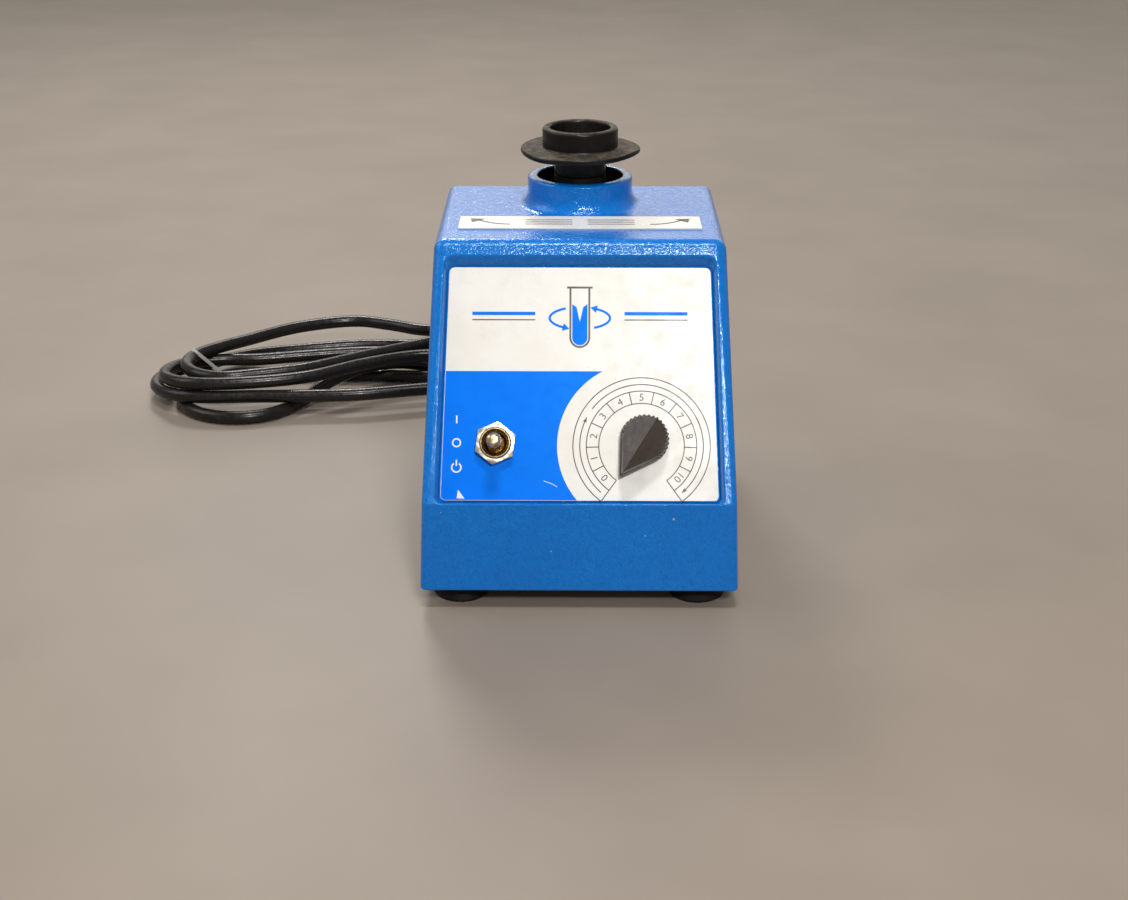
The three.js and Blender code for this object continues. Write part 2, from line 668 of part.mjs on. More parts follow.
// A six sided nut on the label, its corners turned by a few degrees.
function nut(acrossFlats, bore, z0, z1, { x, up }, turn) {
  const corner = acrossFlats / Math.sqrt(3);
  const shape = new THREE.Shape();
  for (let k = 0; k < 6; k += 1) {
    const a = rad(90 - turn + 60 * k);
    if (k === 0) shape.moveTo(corner * Math.cos(a), corner * Math.sin(a));
    else shape.lineTo(corner * Math.cos(a), corner * Math.sin(a));
  }
  shape.closePath();
  return slab(hole(shape, 0, 0, bore), z0, z1, 9).translate(x, up, 0);
}

const NUT_BOTTOM = LABEL_TOP + GAP;
piece("control_nut", nut(10.5, POT.bushing + GAP, NUT_BOTTOM, -1.2, DIAL, 12), LOOK.nickel, panel);
piece("control_shaft", rod(STUB.r, STUB.bottom, STUB.top, DIAL.x, DIAL.up), LOOK.aluminium, panel);

const KNOB = { r: 9.4, tip: 17.4, bottom: -2.8, wall: 4, ridgeBack: 12.5, ridgeTip: 7.5, heading: 147.3 };
const KNOB_HOLLOW = { r: 6.8, top: -0.6, bore: 3.3, boreTop: 7 };

// A pointer knob with a round back, a straight sided nose and a roof of two slopes.
function knob() {
  const k = KNOB;
  const points = [];
  const tangent = Math.acos(k.r / k.tip);
  const steps = 14;
  const outline = (scale, z) => {
    for (let i = 0; i <= steps; i += 1) {
      const a = Math.PI / 2 + tangent + (i / steps) * (2 * Math.PI - 2 * tangent);
      points.push(vec(scale * k.r * Math.cos(a), scale * k.r * Math.sin(a), z));
    }
    points.push(vec(-0.7, scale * k.tip - 0.7, z), vec(0.7, scale * k.tip - 0.7, z));
  };
  outline(1, k.bottom);
  outline(0.985, k.wall);
  points.push(vec(-0.4, -k.r * 0.86, k.ridgeBack), vec(0.4, -k.r * 0.86, k.ridgeBack));
  points.push(vec(-0.3, k.tip * 0.9, k.ridgeTip), vec(0.3, k.tip * 0.9, k.ridgeTip));
  const { r, top, bore, boreTop } = KNOB_HOLLOW;
  const body = cut(new ConvexGeometry(points), rod(r, k.bottom - 1, top), rod(bore, top - 0.4, boreTop));
  return body.rotateZ(rad(k.heading)).translate(DIAL.x, DIAL.up, 0);
}

piece("speed_knob", knob(), LOOK.knob, panel);

// ---- toggle switch on the panel ----
const TOGGLE = { bushing: 5.95, bore: 4.15, mouth: 1.6, bottom: -13, pivot: -6, tip: 14, bat: 2.9 };
const TOGGLE_CASE = { x: 7.5, y: 14, bottom: -28, top: TOGGLE.bottom - GAP };
const onSwitch = (geometry) => geometry.translate(SWITCH.x, SWITCH.up, 0);

function toggleBody() {
  const { x, y, bottom, top } = TOGGLE_CASE;
  return onSwitch(box(-x, x, -y, y, bottom, top));
}

piece("toggle_body", toggleBody(), LOOK.plastic, panel);

function toggleBushing() {
  const { bore, bushing, bottom, mouth } = TOGGLE;
  return onSwitch(ring(bore, bushing, bottom, mouth));
}

piece("toggle_bushing", toggleBushing(), LOOK.brass, panel);
piece("toggle_nut", nut(14.3, TOGGLE.bushing + GAP, NUT_BOTTOM, 0.2, SWITCH, 8), LOOK.nickel, panel);

function bat() {
  const { tip, bat: r, pivot } = TOGGLE;
  const profile = [[0, pivot - 3], [1.6, pivot - 3], [2.1, pivot], [2, 1], [r, tip - 2.4]];
  profile.push([r * 0.9, tip - 1.1], [r * 0.6, tip - 0.3], [0, tip]);
  return onSwitch(turned(profile, 0, 0, 12));
}

piece("toggle_lever", bat(), LOOK.nickel, panel);

// ---- control board on the base plate ----
const BOARD = { half: 38, front: -74, back: -38, bottom: 17.2, thick: 1.6 };
const BOARD_TOP = BOARD.bottom + BOARD.thick;
const boardSheet = box(-BOARD.half, BOARD.half, BOARD.front, BOARD.back, BOARD.bottom, BOARD_TOP);
piece("control_board", boardSheet, LOOK.board);
const RAIL = { x: 34, half: 3, thick: 1, front: -72, back: -40 };

// A channel that the board stands on, open towards +X.
function boardRail(x) {
  const { half, thick } = RAIL;
  const [z0, z1] = [PLATE_TOP + GAP, BOARD.bottom - GAP];
  const channel = polygonShape([
    [-half, z0],
    [half, z0],
    [half, z0 + thick],
    [thick - half, z0 + thick],
    [thick - half, z1 - thick],
    [half, z1 - thick],
    [half, z1],
    [-half, z1],
  ]);
  return slab(channel, -RAIL.back, -RAIL.front).rotateX(Math.PI / 2).translate(x, 0, 0);
}

piece("board_rail_left", boardRail(-RAIL.x), LOOK.aluminium);
piece("board_rail_right", boardRail(RAIL.x), LOOK.aluminium);

const SINK = { x: -14, half: 12, front: -68, back: -44, tall: 12, base: 2.5, fins: 5, pitch: 5.5, fin: 2 };

function heatSink() {
  const { half, fins, pitch, fin } = SINK;
  const bottom = BOARD_TOP + GAP;
  const [base, top] = [bottom + SINK.base, bottom + SINK.tall];
  const profile = [[-half, bottom]];
  for (let k = 0; k < fins; k += 1) {
    const x = half - k * pitch;
    profile.push([x, k === 0 ? bottom : base], [x, top], [x - fin, top]);
    if (k < fins - 1) profile.push([x - fin, base]);
  }
  profile.push([-half, top]);
  return slab(polygonShape(profile), -SINK.back, -SINK.front).rotateX(Math.PI / 2).translate(SINK.x, 0, 0);
}

piece("heat_sink", heatSink(), LOOK.aluminium);
const CAPACITOR = { left: 6, right: 30, front: -66, back: -54, tall: 14 };

function capacitor() {
  const { left, right, front, back, tall } = CAPACITOR;
  return slab(roundedShape(left, right, front, back, 2), BOARD_TOP + GAP, BOARD_TOP + tall, 3);
}

piece("capacitor", capacitor(), LOOK.label);

// ---- mains cord ----
const CORD_R = CORD / 2;
const RELIEF_END = EXIT.y + RELIEF_LENGTH;

const RELIEF = { plug: 5.2, plugDeep: 6, flange: 9, flangeThick: 2.8, sleeve: 6.6, sleeveFrom: 4.5 };

// The strain relief: a flange against the boss, a plug in the hole and a tapering sleeve.
function strainRelief() {
  const [y0, end] = [EXIT.y, RELIEF_END];
  const { plug, plugDeep, flange, flangeThick, sleeve, sleeveFrom } = RELIEF;
  const profile = [[0, y0 - plugDeep], [plug, y0 - plugDeep], [plug, y0 + GAP], [flange, y0 + GAP]];
  profile.push([flange, y0 + flangeThick], [sleeve, y0 + sleeveFrom], [CORD_R + 1, end], [0, end]);
  return turned(profile, 0, 0, 14).rotateX(-Math.PI / 2).translate(EXIT.x, 0, EXIT.z);
}

piece("strain_relief", strainRelief(), LOOK.rubber);

// The stretch from the strain relief to the hank, each point [x, y, z].
const ROUTE = [
  [20, RELIEF_END + GAP, 22],
  [20, 114.5, 22],
  [20, 117.7, 21.8],
  [19.9, 120.9, 21.4],
  [19.7, 124.1, 20.7],
  [19.3, 127.3, 19.8],
  [18.7, 130.5, 18.7],
  [17.9, 133.6, 17.4],
  [16.9, 136.6, 16],
  [15.6, 139.5, 14.5],
  [14, 142.3, 12.9],
  [12.1, 145, 11.2],
  [9.9, 147.5, 9.6],
  [7.4, 149.9, 8.1],
  [4.6, 152.1, 6.7],
  [2.4, 153.5, 5.9],
];

function cordTube() {
  const path = new THREE.CatmullRomCurve3(ROUTE.map((p) => vec(...p)));
  const section = new THREE.Shape();
  const sides = 10;
  for (let k = 0; k < sides; k += 1) {
    const a = (k / sides) * 2 * Math.PI;
    if (k === 0) section.moveTo(CORD_R, 0);
    else section.lineTo(CORD_R * Math.cos(a), CORD_R * Math.sin(a));
  }
  return new THREE.ExtrudeGeometry(section, { steps: 6, extrudePath: path, bevelEnabled: false });
}

piece("cord_tube", cordTube(), LOOK.rubber);
const hankShape = roundedShape(HANK.left, HANK.right, HANK.front, HANK.back, HANK.corner);
piece("cord_hank", slab(hankShape, 0.1, HANK.tall, 6), LOOK.rubber);

// The moulded plug beside the hank, with its blades towards +X.
const PLUG = { start: 1, neck: 22, back: 44, y: 198, z: 12.4, grip: 11.8 };
const BLADE_PIN = { reach: 16, side: 6.35, half: 0.75, below: 1, above: 5.3 }; // each side of the plug's middle
const EARTH_PIN = { r: 2.4, below: 7, reach: 19 };

function plugBody() {
  const { start, neck, back, grip } = PLUG;
  const profile = [[0, start], [CORD_R + 1.2, start], [CORD_R + 2.6, neck - 3], [9.5, neck]];
  profile.push([grip, neck + 5], [grip, back - 1.2], [grip - 1, back], [0, back]);
  return turned(profile, 0, 0, 16).rotateY(Math.PI / 2).translate(0, PLUG.y, PLUG.z);
}

function plugBlade(side) {
  const y = PLUG.y + side * BLADE_PIN.side;
  const [x0, x1] = [PLUG.back + GAP, PLUG.back + BLADE_PIN.reach];
  const [z0, z1] = [PLUG.z - BLADE_PIN.below, PLUG.z + BLADE_PIN.above];
  return box(x0, x1, y - BLADE_PIN.half, y + BLADE_PIN.half, z0, z1);
}

function earthPin() {
  const pin = rod(EARTH_PIN.r, PLUG.back + GAP, PLUG.back + EARTH_PIN.reach, 0, 0, 12);
  return pin.rotateY(Math.PI / 2).translate(0, PLUG.y, PLUG.z - EARTH_PIN.below);
}

piece("plug_body", plugBody(), LOOK.rubber);
piece("plug_blade_left", plugBlade(-1), LOOK.brass);
piece("plug_blade_right", plugBlade(1), LOOK.brass);
piece("plug_earth_pin", earthPin(), LOOK.brass);

export default mixer;
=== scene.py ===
"""Looks of a bench vortex mixer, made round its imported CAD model.

The frame has its origin on the bench under the middle of the housing, +Z up and the sloped front
panel towards -Y. Shapes are drawn in millimetres and turned to metres as each mesh is made.
"""
import math

import bmesh
import bpy
from mathutils import Matrix, Vector
from mathutils.geometry import convex_hull_2d


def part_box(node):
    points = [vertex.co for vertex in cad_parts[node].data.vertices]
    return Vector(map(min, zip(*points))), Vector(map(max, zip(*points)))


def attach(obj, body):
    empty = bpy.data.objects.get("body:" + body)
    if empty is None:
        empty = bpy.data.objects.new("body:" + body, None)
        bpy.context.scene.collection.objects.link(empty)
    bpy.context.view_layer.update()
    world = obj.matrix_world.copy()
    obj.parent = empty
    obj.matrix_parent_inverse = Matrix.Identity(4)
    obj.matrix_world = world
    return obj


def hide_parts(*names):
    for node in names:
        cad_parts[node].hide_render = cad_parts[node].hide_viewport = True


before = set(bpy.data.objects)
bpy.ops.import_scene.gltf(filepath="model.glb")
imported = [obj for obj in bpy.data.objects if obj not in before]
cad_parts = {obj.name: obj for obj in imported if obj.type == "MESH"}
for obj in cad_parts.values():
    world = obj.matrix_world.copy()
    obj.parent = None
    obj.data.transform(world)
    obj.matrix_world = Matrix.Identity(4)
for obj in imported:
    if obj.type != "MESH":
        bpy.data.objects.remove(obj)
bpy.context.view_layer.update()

MM = 0.001
TAU = 2 * math.pi
WELD = 1e-4  # points nearer than this become one
rad = math.radians


def cad_box(node):
    """Lowest and highest corner of a CAD node at rest, in millimetres."""
    return tuple(Vector(corner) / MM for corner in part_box(node))


# ---- driving dimensions, mm ----
SHELL_LOW, SHELL_HIGH = cad_box("housing_shell")
RIM_Z = SHELL_LOW.z
TOP_Z = SHELL_HIGH.z
HALF_WIDTH = SHELL_HIGH.x
HALF_DEPTH = 82.5
SIDE_DRAFT = 0.0408  # inward run of a side wall for each unit of height
WALL = 3
CHIN = Vector((0, -80.7, 43.5))  # foot of the sloped panel
PANEL_TILT = 27.5  # degrees that the panel leans back from upright
PANEL_WALL = 7
TOP_BACK_Y = 53
RECESS_DEPTH = 4.2
LABEL_FACE = -3.3  # label face, measured out of the panel face
LABEL_THICK = 0.6
DIAL = Vector((23.5, 22.7))  # middle of the printed dial
SHAFT = Vector((24.5, 25))  # the control shaft, a little up and right of it
SHAFT_HOLE = 4.8
SWITCH = Vector((-31.8, 23.4))
SWITCH_HOLE = 6.25
HOLES_FROM = -12  # depth that the panel's holes start from
AXIS_Y = 24  # motor axis
HEAD_Y = 21  # axis of the orbiting head at rest
COLLAR = {"outer": 21.4, "bore": 17.4, "top": 144.8, "flare": 4, "flare_tall": 6.6}
NECK_FLOOR = TOP_Z - 14  # underside of the bore through the collar
CUP = {"rim": 165, "outer": 15.3, "mouth": 12.2, "flange": 24.2, "flange_top": 156.7, "flange_thick": 2.1}
NECK_R = 10.5
NECK_BORE = 6.3
FOOT_X, FOOT_Y = 46, 66
FEET = [(sx * FOOT_X, sy * FOOT_Y) for sx in (-1, 1) for sy in (-1, 1)]
FOOT_BOSS = {"r": 5, "low": 10.8, "high": 28}
FOOT_HOLE = 2.1
EXIT = Vector((20, 81, 22))  # where the cord's boss ends on the back wall
CORD_D = 6.4
CORD_BORE = CORD_D / 2 + 0.15
RELIEF_LENGTH = 30
PLUG = {"start": 1, "neck": 22, "back": 44, "y": 198, "z": 12.4}

PANEL = Matrix.Translation(CHIN) @ Matrix.Rotation(rad(90 - PANEL_TILT), 4, "X")
ON_SHAFT = PANEL @ Matrix.Translation((SHAFT.x, SHAFT.y, 0))
ON_SWITCH = PANEL @ Matrix.Translation((SWITCH.x, SWITCH.y, 0))
Z_TO_X = Matrix.Rotation(rad(90), 4, "Y")
Z_TO_Y = Matrix.Rotation(rad(-90), 4, "X")


# ---- outlines ----
def circle(x, y, r, steps=64):
    """A full circle, anticlockwise."""
    return [(x + r * math.cos(TAU * k / steps), y + r * math.sin(TAU * k / steps)) for k in range(steps)]


def dial_point(angle, r):
    """A point on the dial, angle in degrees clockwise from the top."""
    return (r * math.sin(rad(angle)), r * math.cos(rad(angle)))


def dial_arc(r, start, end, step=3):
    steps = max(2, round(abs(end - start) / step))
    return [dial_point(start + (end - start) * k / steps, r) for k in range(steps + 1)]


def filleted(corners, steps=6, closed=True):
    """A polyline through (x, y) or (x, y, radius) corners, with those that have a radius rounded."""
    result = []
    count = len(corners)
    for i, corner in enumerate(corners):
        here = Vector(corner[:2])
        radius = corner[2] if len(corner) > 2 else 0
        if radius == 0 or (not closed and i in (0, count - 1)):
            result.append(tuple(here))
            continue
        before = (Vector(corners[i - 1][:2]) - here).normalized()
        after = (Vector(corners[(i + 1) % count][:2]) - here).normalized()
        half = before.angle(after) / 2
        middle = here + (before + after).normalized() * radius / math.sin(half)
        first = here + before * radius / math.tan(half) - middle
        last = here + after * radius / math.tan(half) - middle
        turn = first.angle_signed(last)
        for k in range(steps + 1):
            result.append(tuple(middle + Matrix.Rotation(-turn * k / steps, 2) @ first))
    return result


def rectangle(x0, x1, y0, y1, r=0.0, steps=6):
    """A rectangle with rounded corners, anticlockwise."""
    return filleted([(x0, y0, r), (x1, y0, r), (x1, y1, r), (x0, y1, r)], steps)


def stroke(points, width):
    """The outline of a pen stroke of that width along open points."""
    line = [Vector(p) for p in points]
    left, right = [], []
    for i, here in enumerate(line):
        along = (line[min(i + 1, len(line) - 1)] - line[max(i - 1, 0)]).normalized()
        side = Vector((-along.y, along.x)) * width / 2
        left.append(tuple(here + side))
        right.append(tuple(here - side))
    return left + right[::-1]


def moved(points, x, y):
    return [(px + x, py + y) for px, py in points]


# ---- meshes ----
def shown(name, data):
    """A new object in the scene."""
    obj = bpy.data.objects.new(name, data)
    bpy.context.scene.collection.objects.link(obj)
    return obj


def mesh_of(name, bm):
    """The mesh of a bmesh, which is used up."""
    mesh = bpy.data.meshes.new(name)
    bm.to_mesh(mesh)
    bm.free()
    return mesh


def laid(bm, matrix):
    bmesh.ops.transform(bm, matrix=matrix, verts=bm.verts)
    return bm


def piece(name, bm, look, body="base", stands_for=(), sharp=32, place=None):
    """A shown piece from a bmesh drawn in millimetres."""
    if place is not None:
        laid(bm, place)
    bmesh.ops.scale(bm, vec=(MM, MM, MM), verts=bm.verts)
    bmesh.ops.recalc_face_normals(bm, faces=bm.faces)
    mesh = mesh_of(name, bm)
    mesh.polygons.foreach_set("use_smooth", [True] * len(mesh.polygons))
    mesh.set_sharp_from_angle(angle=rad(sharp))
    mesh.materials.append(LOOK[look])
    obj = shown(name, mesh)
    weighted = obj.modifiers.new("weighted_normals", "WEIGHTED_NORMAL")
    weighted.keep_sharp = True
    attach(obj, body)
    if stands_for:
        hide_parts(*stands_for)
    return obj


def turned(profile, sides=96, x=0, y=0):
    """A turned solid about Z from a closed profile of (r, z) points, anticlockwise."""
    bm = bmesh.new()
    rings = []
    for r, z in profile:
        spots = [(x, y)] if r < 1e-6 else circle(x, y, r, sides)
        rings.append([bm.verts.new((px, py, z)) for px, py in spots])
    for a, b in zip(rings, rings[1:] + rings[:1]):
        for k in range(sides):
            m = (k + 1) % sides
            corners = [a[k % len(a)], a[m % len(a)], b[m % len(b)], b[k % len(b)]]
            unique = list(dict.fromkeys(corners))
            if len(unique) > 2:
                bm.faces.new(unique)
    return bm


def rod(r, z0, z1, x=0, y=0, sides=48):
    return turned([(0, z0), (r, z0), (r, z1), (0, z1)], sides, x, y)


def walls(bm, rings, around=False):
    """Faces between rings of equal numbers of points, and from the last to the first if they go around."""
    loops = [[bm.verts.new(p) for p in ring] for ring in rings]
    after = loops[1:] + loops[:1] if around else loops[1:]
    for a, b in zip(loops, after):
        for k in range(len(a)):
            m = (k + 1) % len(a)
            bm.faces.new((a[k], a[m], b[m], b[k]))
    return loops


def evaluated(obj):
    """A welded bmesh of an object as it stands with its modifiers, or of a curve or text."""
    bpy.context.view_layer.update()
    graph = bpy.context.evaluated_depsgraph_get()
    mesh = bpy.data.meshes.new_from_object(obj.evaluated_get(graph))
    bm = bmesh.new()
    bm.from_mesh(mesh)
    bpy.data.meshes.remove(mesh)
    bmesh.ops.remove_doubles(bm, verts=bm.verts, dist=WELD)
    return bm


def curve_to_bmesh(curve):
    obj = shown("drawing", curve)
    bm = evaluated(obj)
    bpy.data.objects.remove(obj)
    bpy.data.curves.remove(curve)
    return bm


def flat(loops, z0, z1, edge=0.0):
    """A flat plate between two heights from closed outlines, where an inner outline is a hole."""
    curve = bpy.data.curves.new("outline", "CURVE")
    curve.dimensions = "2D"
    curve.fill_mode = "BOTH"
    curve.extrude = (z1 - z0) / 2 - edge
    curve.bevel_depth = edge
    curve.bevel_resolution = 2
    curve.offset = -edge
    for loop in loops:
        spline = curve.splines.new("POLY")
        spline.points.add(len(loop) - 1)
        for point, (px, py) in zip(spline.points, loop):
            point.co = (px, py, 0, 1)
        spline.use_cyclic_u = True
    bm = curve_to_bmesh(curve)
    bmesh.ops.translate(bm, vec=(0, 0, (z0 + z1) / 2), verts=bm.verts)
    return bm


def box(x0, x1, y0, y1, z0, z1):
    return flat([rectangle(x0, x1, y0, y1)], z0, z1)


def joined(parts):
    """Several bmeshes in one, side by side."""
    whole = bmesh.new()
    for part in parts:
        scratch = mesh_of("part", part)
        whole.from_mesh(scratch)
        bpy.data.meshes.remove(scratch)
    return whole


def carved(body, *tools):
    """A bmesh after each ("UNION", "DIFFERENCE" or "INTERSECT", bmesh) tool in turn."""
    def holder(name, bm):
        bmesh.ops.recalc_face_normals(bm, faces=bm.faces)
        return shown(name, mesh_of(name, bm))

    target = holder("carving", body)
    cutters = []
    for operation, tool in tools:
        cutter = holder("cutter", tool)
        modifier = target.modifiers.new("carve", "BOOLEAN")
        modifier.operation = operation
        modifier.solver = "EXACT"
        modifier.object = cutter
        cutters.append(cutter)
    result = evaluated(target)
    bmesh.ops.dissolve_degenerate(result, dist=WELD, edges=result.edges)
    for obj in [target, *cutters]:
        bpy.data.objects.remove(obj)
    return result


# ---- materials ----
class Surface:
    """A material built on the Principled shader, its textures in object coordinates."""

    def __init__(self, name, colour, roughness, **sockets):
        self.material = bpy.data.materials.new(name)
        self.material.use_nodes = True
        self.tree = self.material.node_tree
        self.shader = self.tree.nodes["Principled BSDF"]
        self.place = self.node("ShaderNodeTexCoord").outputs["Object"]
        self.shader.inputs["Base Color"].default_value = (*colour, 1)
        self.shader.inputs["Roughness"].default_value = roughness
        for socket, value in sockets.items():
            label = socket.replace("_", " ").title().replace("Ior", "IOR")
            self.shader.inputs[label].default_value = value

    def node(self, kind, **settings):
        made = self.tree.nodes.new(kind)
        for key, value in settings.items():
            setattr(made, key, value)
        return made

    def link(self, source, socket):
        self.tree.links.new(source, socket)

    def stretched(self, scale):
        """Object coordinates scaled along each axis."""
        mapping = self.node("ShaderNodeMapping")
        mapping.inputs["Scale"].default_value = scale
        self.link(self.place, mapping.inputs["Vector"])
        return mapping.outputs["Vector"]

    def noise(self, size, detail=2, roughness=0.5, distortion=0.0, at=None):
        """Noise whose features are about that many millimetres across."""
        made = self.node("ShaderNodeTexNoise")
        made.inputs["Scale"].default_value = 1 / (size * MM)
        made.inputs["Detail"].default_value = detail
        made.inputs["Roughness"].default_value = roughness
        made.inputs["Distortion"].default_value = distortion
        self.link(at or self.place, made.inputs["Vector"])
        return made.outputs["Fac"]

    def bands(self, axis, size):
        """Soft lines across an axis."""
        made = self.node("ShaderNodeTexWave", wave_type="BANDS", bands_direction=axis, wave_profile="SIN")
        made.inputs["Scale"].default_value = 1 / (size * MM) / TAU * 2
        self.link(self.place, made.inputs["Vector"])
        return made.outputs["Fac"]

    def ramp(self, value, *stops):
        """A value or colour ramp with (position, grey or colour) stops."""
        made = self.node("ShaderNodeValToRGB")
        band = made.color_ramp
        for element, (position, tone) in zip(band.elements, stops):
            element.position = position
            element.color = (*tone, 1) if isinstance(tone, tuple) else (tone, tone, tone, 1)
        self.link(value, made.inputs["Fac"])
        return made.outputs["Color"]

    def mask(self, value, low, high):
        """0 where the value is low and 1 where it is high."""
        return self.ramp(value, (low, 0.0), (high, 1.0))

    def math(self, operation, a, b):
        made = self.node("ShaderNodeMath", operation=operation)
        for socket, value in zip(made.inputs, (a, b)):
            if isinstance(value, (int, float)):
                socket.default_value = value
            else:
                self.link(value, socket)
        return made.outputs[0]

    def mix(self, factor, a, b):
        """Colour a where factor is 0 and b where it is 1; each is a colour or an output."""
        made = self.node("ShaderNodeMix", data_type="RGBA")
        self.link(factor, made.inputs["Factor"])
        for key, value in ((6, a), (7, b)):
            if isinstance(value, tuple):
                made.inputs[key].default_value = (*value, 1)
            else:
                self.link(value, made.inputs[key])
        return made.outputs[2]

    def colour(self, output):
        self.link(output, self.shader.inputs["Base Color"])

    def rough(self, output):
        self.link(output, self.shader.inputs["Roughness"])

    def blotched(self, tone, other, size, low, high, detail=4, roughness=0.65):
        """Base colour of one tone, with blotches of another where the noise is high."""
        self.colour(self.mix(self.mask(self.noise(size, detail, roughness), low, high), tone, other))

    def bump(self, *layers):
        """Bump from (height output, depth in mm, strength) layers, coarse to fine."""
        last = None
        for output, depth, strength in layers:
            made = self.node("ShaderNodeBump")
            made.inputs["Distance"].default_value = depth * MM
            made.inputs["Strength"].default_value = strength
            self.link(output, made.inputs["Height"])
            if last is not None:
                self.link(last, made.inputs["Normal"])
            last = made.outputs["Normal"]
        self.link(last, self.shader.inputs["Normal"])
        self.link(last, self.shader.inputs["Coat Normal"])


def wrinkle_paint():
    """Blue oven paint with a fine wrinkle, its hollows darkened with painted shade, and a few chips."""
    s = Surface("blue_wrinkle_paint", (0.0, 0.165, 0.6), 0.2, specular_ior_level=0.3,
                specular_tint=(0.2, 0.6, 1, 1), coat_weight=0.65, coat_roughness=0.11)
    wrinkle = s.noise(1.4, detail=2, roughness=0.55, distortion=1.4)
    grain = s.noise(0.5, detail=2, roughness=0.6)
    broad = s.ramp(s.noise(34, detail=3), (0.3, (0.0, 0.163, 0.6)), (0.7, (0.0, 0.185, 0.66)))
    # darker blue where the wrinkle is low: painted shade in the wrinkle's hollows
    tone = s.mix(s.mask(wrinkle, 0.3, 0.62), (0.0, 0.13, 0.5), broad)
    chips = s.mask(s.noise(2.3, detail=1), 0.8, 0.815)
    s.colour(s.mix(chips, tone, (0.33, 0.45, 0.6)))
    s.rough(s.ramp(wrinkle, (0.3, 0.26), (0.7, 0.09)))
    s.bump((wrinkle, 0.21, 0.85), (grain, 0.02, 0.2))
    return s.material


def label_white():
    """White label film with stains and a few specks."""
    s = Surface("label_white", (0.76, 0.75, 0.72), 0.32, specular_ior_level=0.4)
    patches = s.noise(18, detail=4, roughness=0.6)
    stain = s.ramp(patches, (0.42, (0.77, 0.765, 0.74)), (0.8, (0.7, 0.68, 0.62)))
    specks = s.mask(s.noise(1.1, detail=1), 0.77, 0.8)
    s.colour(s.mix(specks, stain, (0.6, 0.57, 0.5)))
    s.rough(s.ramp(s.noise(7, detail=3), (0.35, 0.25), (0.7, 0.42)))
    s.bump((s.noise(0.8), 0.03, 0.2))
    return s.material


def label_ink(name, tone, worn, roughness=0.34, tint=(1, 1, 1)):
    """Printed ink with faint mottling."""
    s = Surface(name, tone, roughness, specular_ior_level=0.4, specular_tint=(*tint, 1))
    s.blotched(tone, worn, 9, 0.35, 0.75)
    s.rough(s.ramp(s.noise(4, detail=3), (0.35, roughness - 0.06), (0.7, roughness + 0.1)))
    s.bump((s.noise(0.8), 0.03, 0.2))
    return s.material


def cup_rubber():
    """Black moulded rubber, greyed and dusty on its upward faces."""
    s = Surface("worn_rubber", (0.008, 0.007, 0.0065), 0.4, specular_ior_level=0.22)
    split = s.node("ShaderNodeSeparateXYZ")
    s.link(s.node("ShaderNodeNewGeometry").outputs["Normal"], split.inputs[0])
    facing_up = s.mask(split.outputs["Z"], 0.55, 0.97)
    patches = s.ramp(s.noise(3.6, detail=5, roughness=0.72), (0.38, 0.1), (0.62, 1.0))
    dust = s.math("MULTIPLY", facing_up, patches)
    worn = s.noise(9, detail=4, roughness=0.65)
    film = s.ramp(worn, (0.42, (0.006, 0.005, 0.005)), (0.78, (0.014, 0.012, 0.01)))
    s.colour(s.mix(dust, film, (0.1, 0.08, 0.058)))
    clean = s.ramp(s.noise(3, detail=4), (0.35, 0.27), (0.7, 0.46))
    s.rough(s.math("MAXIMUM", clean, s.math("MULTIPLY", facing_up, 0.72)))
    s.bump((s.noise(2.4, detail=3), 0.1, 0.2), (s.noise(0.35), 0.03, 0.2))
    return s.material


def moulded(name, tone, light, roughness=0.45, grain=0.4, depth=0.05, shine=0.45):
    """A moulded plastic or rubber with a fine grain and slight shade changes."""
    s = Surface(name, tone, roughness, specular_ior_level=shine)
    s.blotched(tone, light, 6, 0.35, 0.75, roughness=0.6)
    s.rough(s.ramp(s.noise(2.5, detail=3), (0.35, roughness - 0.07), (0.7, roughness + 0.12)))
    s.bump((s.noise(grain, detail=3, roughness=0.6), depth, 0.4))
    return s.material


def metal(name, tone, stain, roughness=0.3, brushed=None, patch=5):
    """A metal with stains, and brushing where a stretch is given."""
    s = Surface(name, tone, roughness, metallic=1.0)
    s.blotched(tone, stain, patch, 0.42, 0.72, detail=5)
    s.rough(s.ramp(s.noise(2, detail=4), (0.3, roughness - 0.08), (0.72, roughness + 0.18)))
    lines = s.noise(0.5, detail=3, at=s.stretched(brushed)) if brushed else s.noise(0.4, detail=3)
    s.bump((lines, 0.03, 0.3))
    return s.material


def laminated():
    """A stack of steel sheets, seen as fine lines across Z."""
    s = Surface("steel_laminations", (0.2, 0.21, 0.22), 0.5, metallic=0.9)
    s.blotched((0.2, 0.21, 0.22), (0.17, 0.12, 0.09), 7, 0.5, 0.8, roughness=0.5)
    s.bump((s.bands("Z", 0.55), 0.12, 0.5), (s.noise(0.6), 0.04, 0.3))
    return s.material


def wound():
    """Enamelled copper wire, wound in lines round X."""
    s = Surface("enamelled_copper", (0.42, 0.16, 0.06), 0.34, metallic=0.85, coat_weight=0.3)
    s.colour(s.ramp(s.noise(4, detail=3), (0.3, (0.36, 0.13, 0.05)), (0.7, (0.5, 0.2, 0.08))))
    s.bump((s.bands("X", 0.7), 0.25, 0.7))
    return s.material


